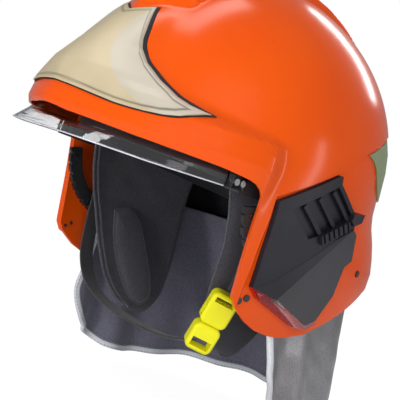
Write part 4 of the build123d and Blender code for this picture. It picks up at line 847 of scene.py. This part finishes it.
# A band on the headband's oval, swollen between sewn channels and pulled in at its edges
def buildBrowPad():
    x = np.linspace(-brow["reach"], brow["reach"], brow["columns"])[None, :]
    v = np.linspace(0, 1, brow["rows"])[:, None]
    seams = brow["reach"] * brow["seamSpan"] * np.linspace(-1, 1, brow["channels"])
    near = np.min(np.abs(x[..., None] - seams), axis=-1)
    swell = 1 - brow["seamDepth"] * np.exp(-(near / brow["seamWidth"]) ** 2)
    swell = swell * (1 - (2 * v - 1) ** 6) ** 0.5
    swell = swell * np.clip((brow["reach"] - np.abs(x)) / brow["endRoll"], 0, 1) ** 0.5

    def at(inset):
        wide = x / (brow["half"] - inset)
        return brow["middle"] - (brow["front"] - inset) * np.sqrt(1 - wide ** 2)

    tilt = (at(brow["gap"]) - brow["tiltFrom"]) * brow["tilt"]
    z = brow["low"] - tilt + brow["tall"] * v
    outside = toPoints(x, at(brow["gap"] + brow["backPull"] * (1 - swell)), z)
    inside = toPoints(x, at(brow["least"] + (brow["thickness"] - brow["least"]) * swell), z)
    return closedPad("browPad", outside, inside, "pad_textile")


browPad = buildBrowPad()
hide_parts("brow_pad")


padOver = {"radius": 31.0, "middle": -1.6, "top": 94.4, "drop": 6.5, "seam": 0.4, "seamWidth": 12,
           "body": 7.5, "least": 1.5, "roll": 0.8, "columns": 72, "rings": 22}


# A round pad under the straps' crossing, crowned below and sewn in four segments
def buildCrownPad():
    t = np.linspace(0, 2 * pi, padOver["columns"], endpoint=False)[None, :]
    r = np.linspace(1, 0.02, padOver["rings"])[:, None]
    radius = padOver["radius"] * r
    x, y = radius * np.cos(t), padOver["middle"] + radius * np.sin(t)
    top = padOver["top"] - padOver["drop"] * r ** 2
    seam = 1 - padOver["seam"] * np.exp(-(np.abs(np.sin(2 * t)) * r * padOver["seamWidth"]) ** 2)
    body = padOver["body"] * np.sqrt(np.maximum(1 - r ** 4, 0)) * seam
    upper = toPoints(x, y, top - padOver["roll"] * r ** 8)
    lower = toPoints(x, y, top - padOver["least"] - body)
    return closedPad("crownPad", upper, lower, "pad_textile", roundFaces)


crownPad = buildCrownPad()
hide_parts("crown_pad")
print("stage: brow and crown pads")

# Crown straps: two woven bands over the head, each half of an oval
crown = {"width": 21.6, "thickness": 1.5, "middle": -1.6, "base": 2.0, "steps": 120,
         "across": (77.9, 97.2), "along": (82.3, 94.2)}


# A band along half an oval in the plane of heading and up, its flat side to the head
def buildCrownStrap(name, span, rise, heading):
    turn = np.linspace(0, pi, crown["steps"])
    heading = np.array(heading, float)
    up = np.array([0.0, 0, 1])
    path = np.outer(span * np.cos(turn), heading) + np.outer(crown["base"] + rise * np.sin(turn), up)
    path = path + [0, crown["middle"], 0]
    outward = np.outer(np.cos(turn) / span, heading) + np.outer(np.sin(turn) / rise, up)
    return sweep(name, path, outward, roundedBox(crown["width"], crown["thickness"], 24, 7), sharpAngle=50)


strapAcross = dress(buildCrownStrap("crownStrapAcross", *crown["across"], (1, 0, 0)), "web_black")
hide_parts("crown_strap_across")
strapAlong = dress(buildCrownStrap("crownStrapAlong", *crown["along"], (0, 1, 0)), "web_black")
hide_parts("crown_strap_along")
print("stage: crown straps")

# Lip of the shield
lip = {"half": 107.0, "reach": 123.5, "level": -10.0, "power": 1.7, "width": 1.1, "height": 1.0, "sink": 0.9,
       "rear": -73.0, "upper": -1.375, "lower": -1.0, "alongY": [-190, -160, -123, -59],
       "alongZ": [-8.6, -9.5, -11, -11.4]}


# The thick lower edge of the shield, a bead along the shield's own outline
def buildLip():
    turn = np.linspace(0, pi, 150)
    x = lip["half"] * np.sign(np.cos(turn)) * np.abs(np.cos(turn)) ** (2 / lip["power"])
    z = np.full(len(turn), lip["level"])
    # the shield's reach grows downwards, so the edge's height and its reach are found together
    for _ in range(5):
        slope = np.where(z < lip["level"], lip["lower"], lip["upper"])
        reach = lip["reach"] + slope * (z - lip["level"])
        y = shell["peakMiddle"] - reach * np.sin(turn) ** (2 / lip["power"])
        z = np.interp(y, lip["alongY"], lip["alongZ"])
    keep = y < lip["rear"]
    line = smoothLine(np.stack([x, y], axis=1)[keep], 150)
    path = np.column_stack([line, np.interp(line[:, 1], lip["alongY"], lip["alongZ"])])
    outward = np.column_stack([line - [0, shell["peakMiddle"]], np.zeros(len(line))])
    profile = roundedBox(lip["height"], lip["width"], 12, 3) - [0, lip["sink"]]
    return sweep("shieldLip", path, outward, profile)


shieldLip = dress(buildLip(), "shield_clear", body="shield")
# painted highlight: the clear lip is given an opaque pale grey in place of the light caught in the shield's
# edge
shieldLip.data.materials[0] = solidFinish("lipEdgeHighlight", (0.55, 0.55, 0.60), (0.75, 0.75, 0.80), roughness=0.15)

# Chin strap
web = {"width": 13.0, "thickness": 2.0, "y": -21.0}
# the webs' routes as (x, z)
rightRoute = [(-93.5, -5.5), (-93.5, -30), (-92.5, -60), (-90, -84), (-84, -105), (-69, -121), (-45, -130),
              (-10, -134), (28, -134), (50, -131), (62, -128)]
leftRoute = [(93.5, -5.5), (93.5, -30), (93.5, -60), (92.6, -74), (90.4, -82)]


# Flat webbing along a route in the plane of the jaw
def buildWeb(name, route):
    line = smoothLine(route, 120)
    path = np.column_stack([line[:, 0], np.full(len(line), web["y"]), line[:, 1]])
    tangent = unit(np.gradient(path, axis=0))
    outward = np.cross(np.tile([0.0, 1.0, 0], (len(path), 1)), tangent)
    return sweep(name, path, outward, roundedBox(web["width"], web["thickness"], 24, 7), sharpAngle=50)


chinWeb = dress(buildWeb("chinWebLong", rightRoute), "web_black", body=None)
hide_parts("chin_strap_right")
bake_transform(chinWeb)
chinShort = dress(buildWeb("chinWebShort", leftRoute), "web_black")
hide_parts("chin_strap_left")
print("stage: chin strap")

# Floor, light and camera
floorMesh = bpy.data.meshes.new("floor")
floorHalf, floorHeight = 9.0, -0.19
corners = [(x * floorHalf, y * floorHalf, floorHeight) for x, y in ((-1, -1), (1, -1), (1, 1), (-1, 1))]
floorMesh.from_pydata(corners, [], [(0, 1, 2, 3)])
floor = intoScene("floor", floorMesh)
# The floor keeps a share of its real shading, which holds the shadow, and glows near white for the rest
paleMaterial, tree, join, shader = newMaterial("floorPale")
setInputs(shader, {"Base Color": (0.9, 0.9, 0.9, 1), "Roughness": 0.9})
glow = node(tree, "ShaderNodeEmission", Strength=1.13)
mix = node(tree, "ShaderNodeMixShader")
ray = node(tree, "ShaderNodeLightPath")
seen = node(tree, "ShaderNodeMath", operation="MULTIPLY")
seen.inputs[1].default_value = 0.85
join(ray.outputs["Is Camera Ray"], seen.inputs[0])
join(seen.outputs[0], mix.inputs[0])
join(shader.outputs[0], mix.inputs[1])
join(glow.outputs[0], mix.inputs[2])
join(mix.outputs[0], tree.nodes["Material Output"].inputs["Surface"])
floorMesh.materials.append(paleMaterial)

# Soft light for the object, plain white for the camera and through the clear pieces
world = bpy.data.worlds.new("studio")
bpy.context.scene.world = world
world.use_nodes = True
tree = world.node_tree
join = tree.links.new
tree.nodes.clear()
ray = node(tree, "ShaderNodeLightPath")
soft = node(tree, "ShaderNodeBackground", Strength=0.30, Color=(0.95, 0.97, 1.0, 1))
white = node(tree, "ShaderNodeBackground", Strength=1.0, Color=(1, 1, 1, 1))
either = node(tree, "ShaderNodeMath", operation="MAXIMUM")
mix = node(tree, "ShaderNodeMixShader")
out = node(tree, "ShaderNodeOutputWorld")
join(ray.outputs["Is Camera Ray"], either.inputs[0])
join(ray.outputs["Is Transmission Ray"], either.inputs[1])
join(either.outputs[0], mix.inputs[0])
join(soft.outputs[0], mix.inputs[1])
join(white.outputs[0], mix.inputs[2])
join(mix.outputs[0], out.inputs["Surface"])


# A rectangle of light whose long side runs the given way
def addLamp(name, place, aim, along, size, power, mirrored=True):
    light = bpy.data.lights.new(name, "AREA")
    light.shape = "RECTANGLE"
    light.size, light.size_y = size
    light.energy = power
    back = (Vector(place) - Vector(aim)).normalized()
    side = Vector(along).cross(back).normalized()
    turned = Matrix((side, back.cross(side), back)).transposed().to_4x4()
    lamp = intoScene(name, light)
    lamp.matrix_world = Matrix.Translation(place) @ turned
    lamp.visible_glossy = mirrored


addLamp("fillFront", (1.25, -0.95, 0.55), (0, 0, 0), (0, 0, 1), (1.2, 1.2), 14.0, mirrored=False)
addLamp("insideGlow", (0.15, -0.95, -0.16), (0, 0.14, -0.09), (0, 0, 1), (0.12, 0.12), 4.5, mirrored=False)
addLamp("topStrip", (-0.22, -0.35, 1.30), (0, 0, 0.08), (0, 1, 0), (0.26, 0.95), 5.0)
addLamp("rearStrip", (-0.28, 1.02, 0.72), (0.06, 0.02, 0.08), (0.35, 0.31, -0.31), (0.10, 0.62), 3.5)
addLamp("sideStrip", (1.1, 0.75, 0.05), (0.1, 0.05, -0.1), (0, 0, 1), (0.12, 0.6), 1.6)

camera = bpy.data.cameras.new("photoView")
# focal length and picture width in pixels, then the camera's axes and its place
focalPixels, widthPixels = 1145.0, 400.0
camera.sensor_width = 36.0
camera.lens = focalPixels * camera.sensor_width / widthPixels
cameraObject = intoScene("photoView", camera)
right, up, forward = ((0.64111652, 0.70544666, 0.30218306), (-0.22556811, -0.20314541, 0.95281214),
                      (-0.73354525, 0.67902647, -0.02888639))
turned = Matrix((right, up, [-v for v in forward])).transposed().to_4x4()
cameraObject.matrix_world = Matrix.Translation((0.662483, -0.609185, -0.003142)) @ turned
bpy.context.scene.camera = cameraObject
bpy.context.scene.view_settings.view_transform = "Standard"
print("stage: floor, light and camera")
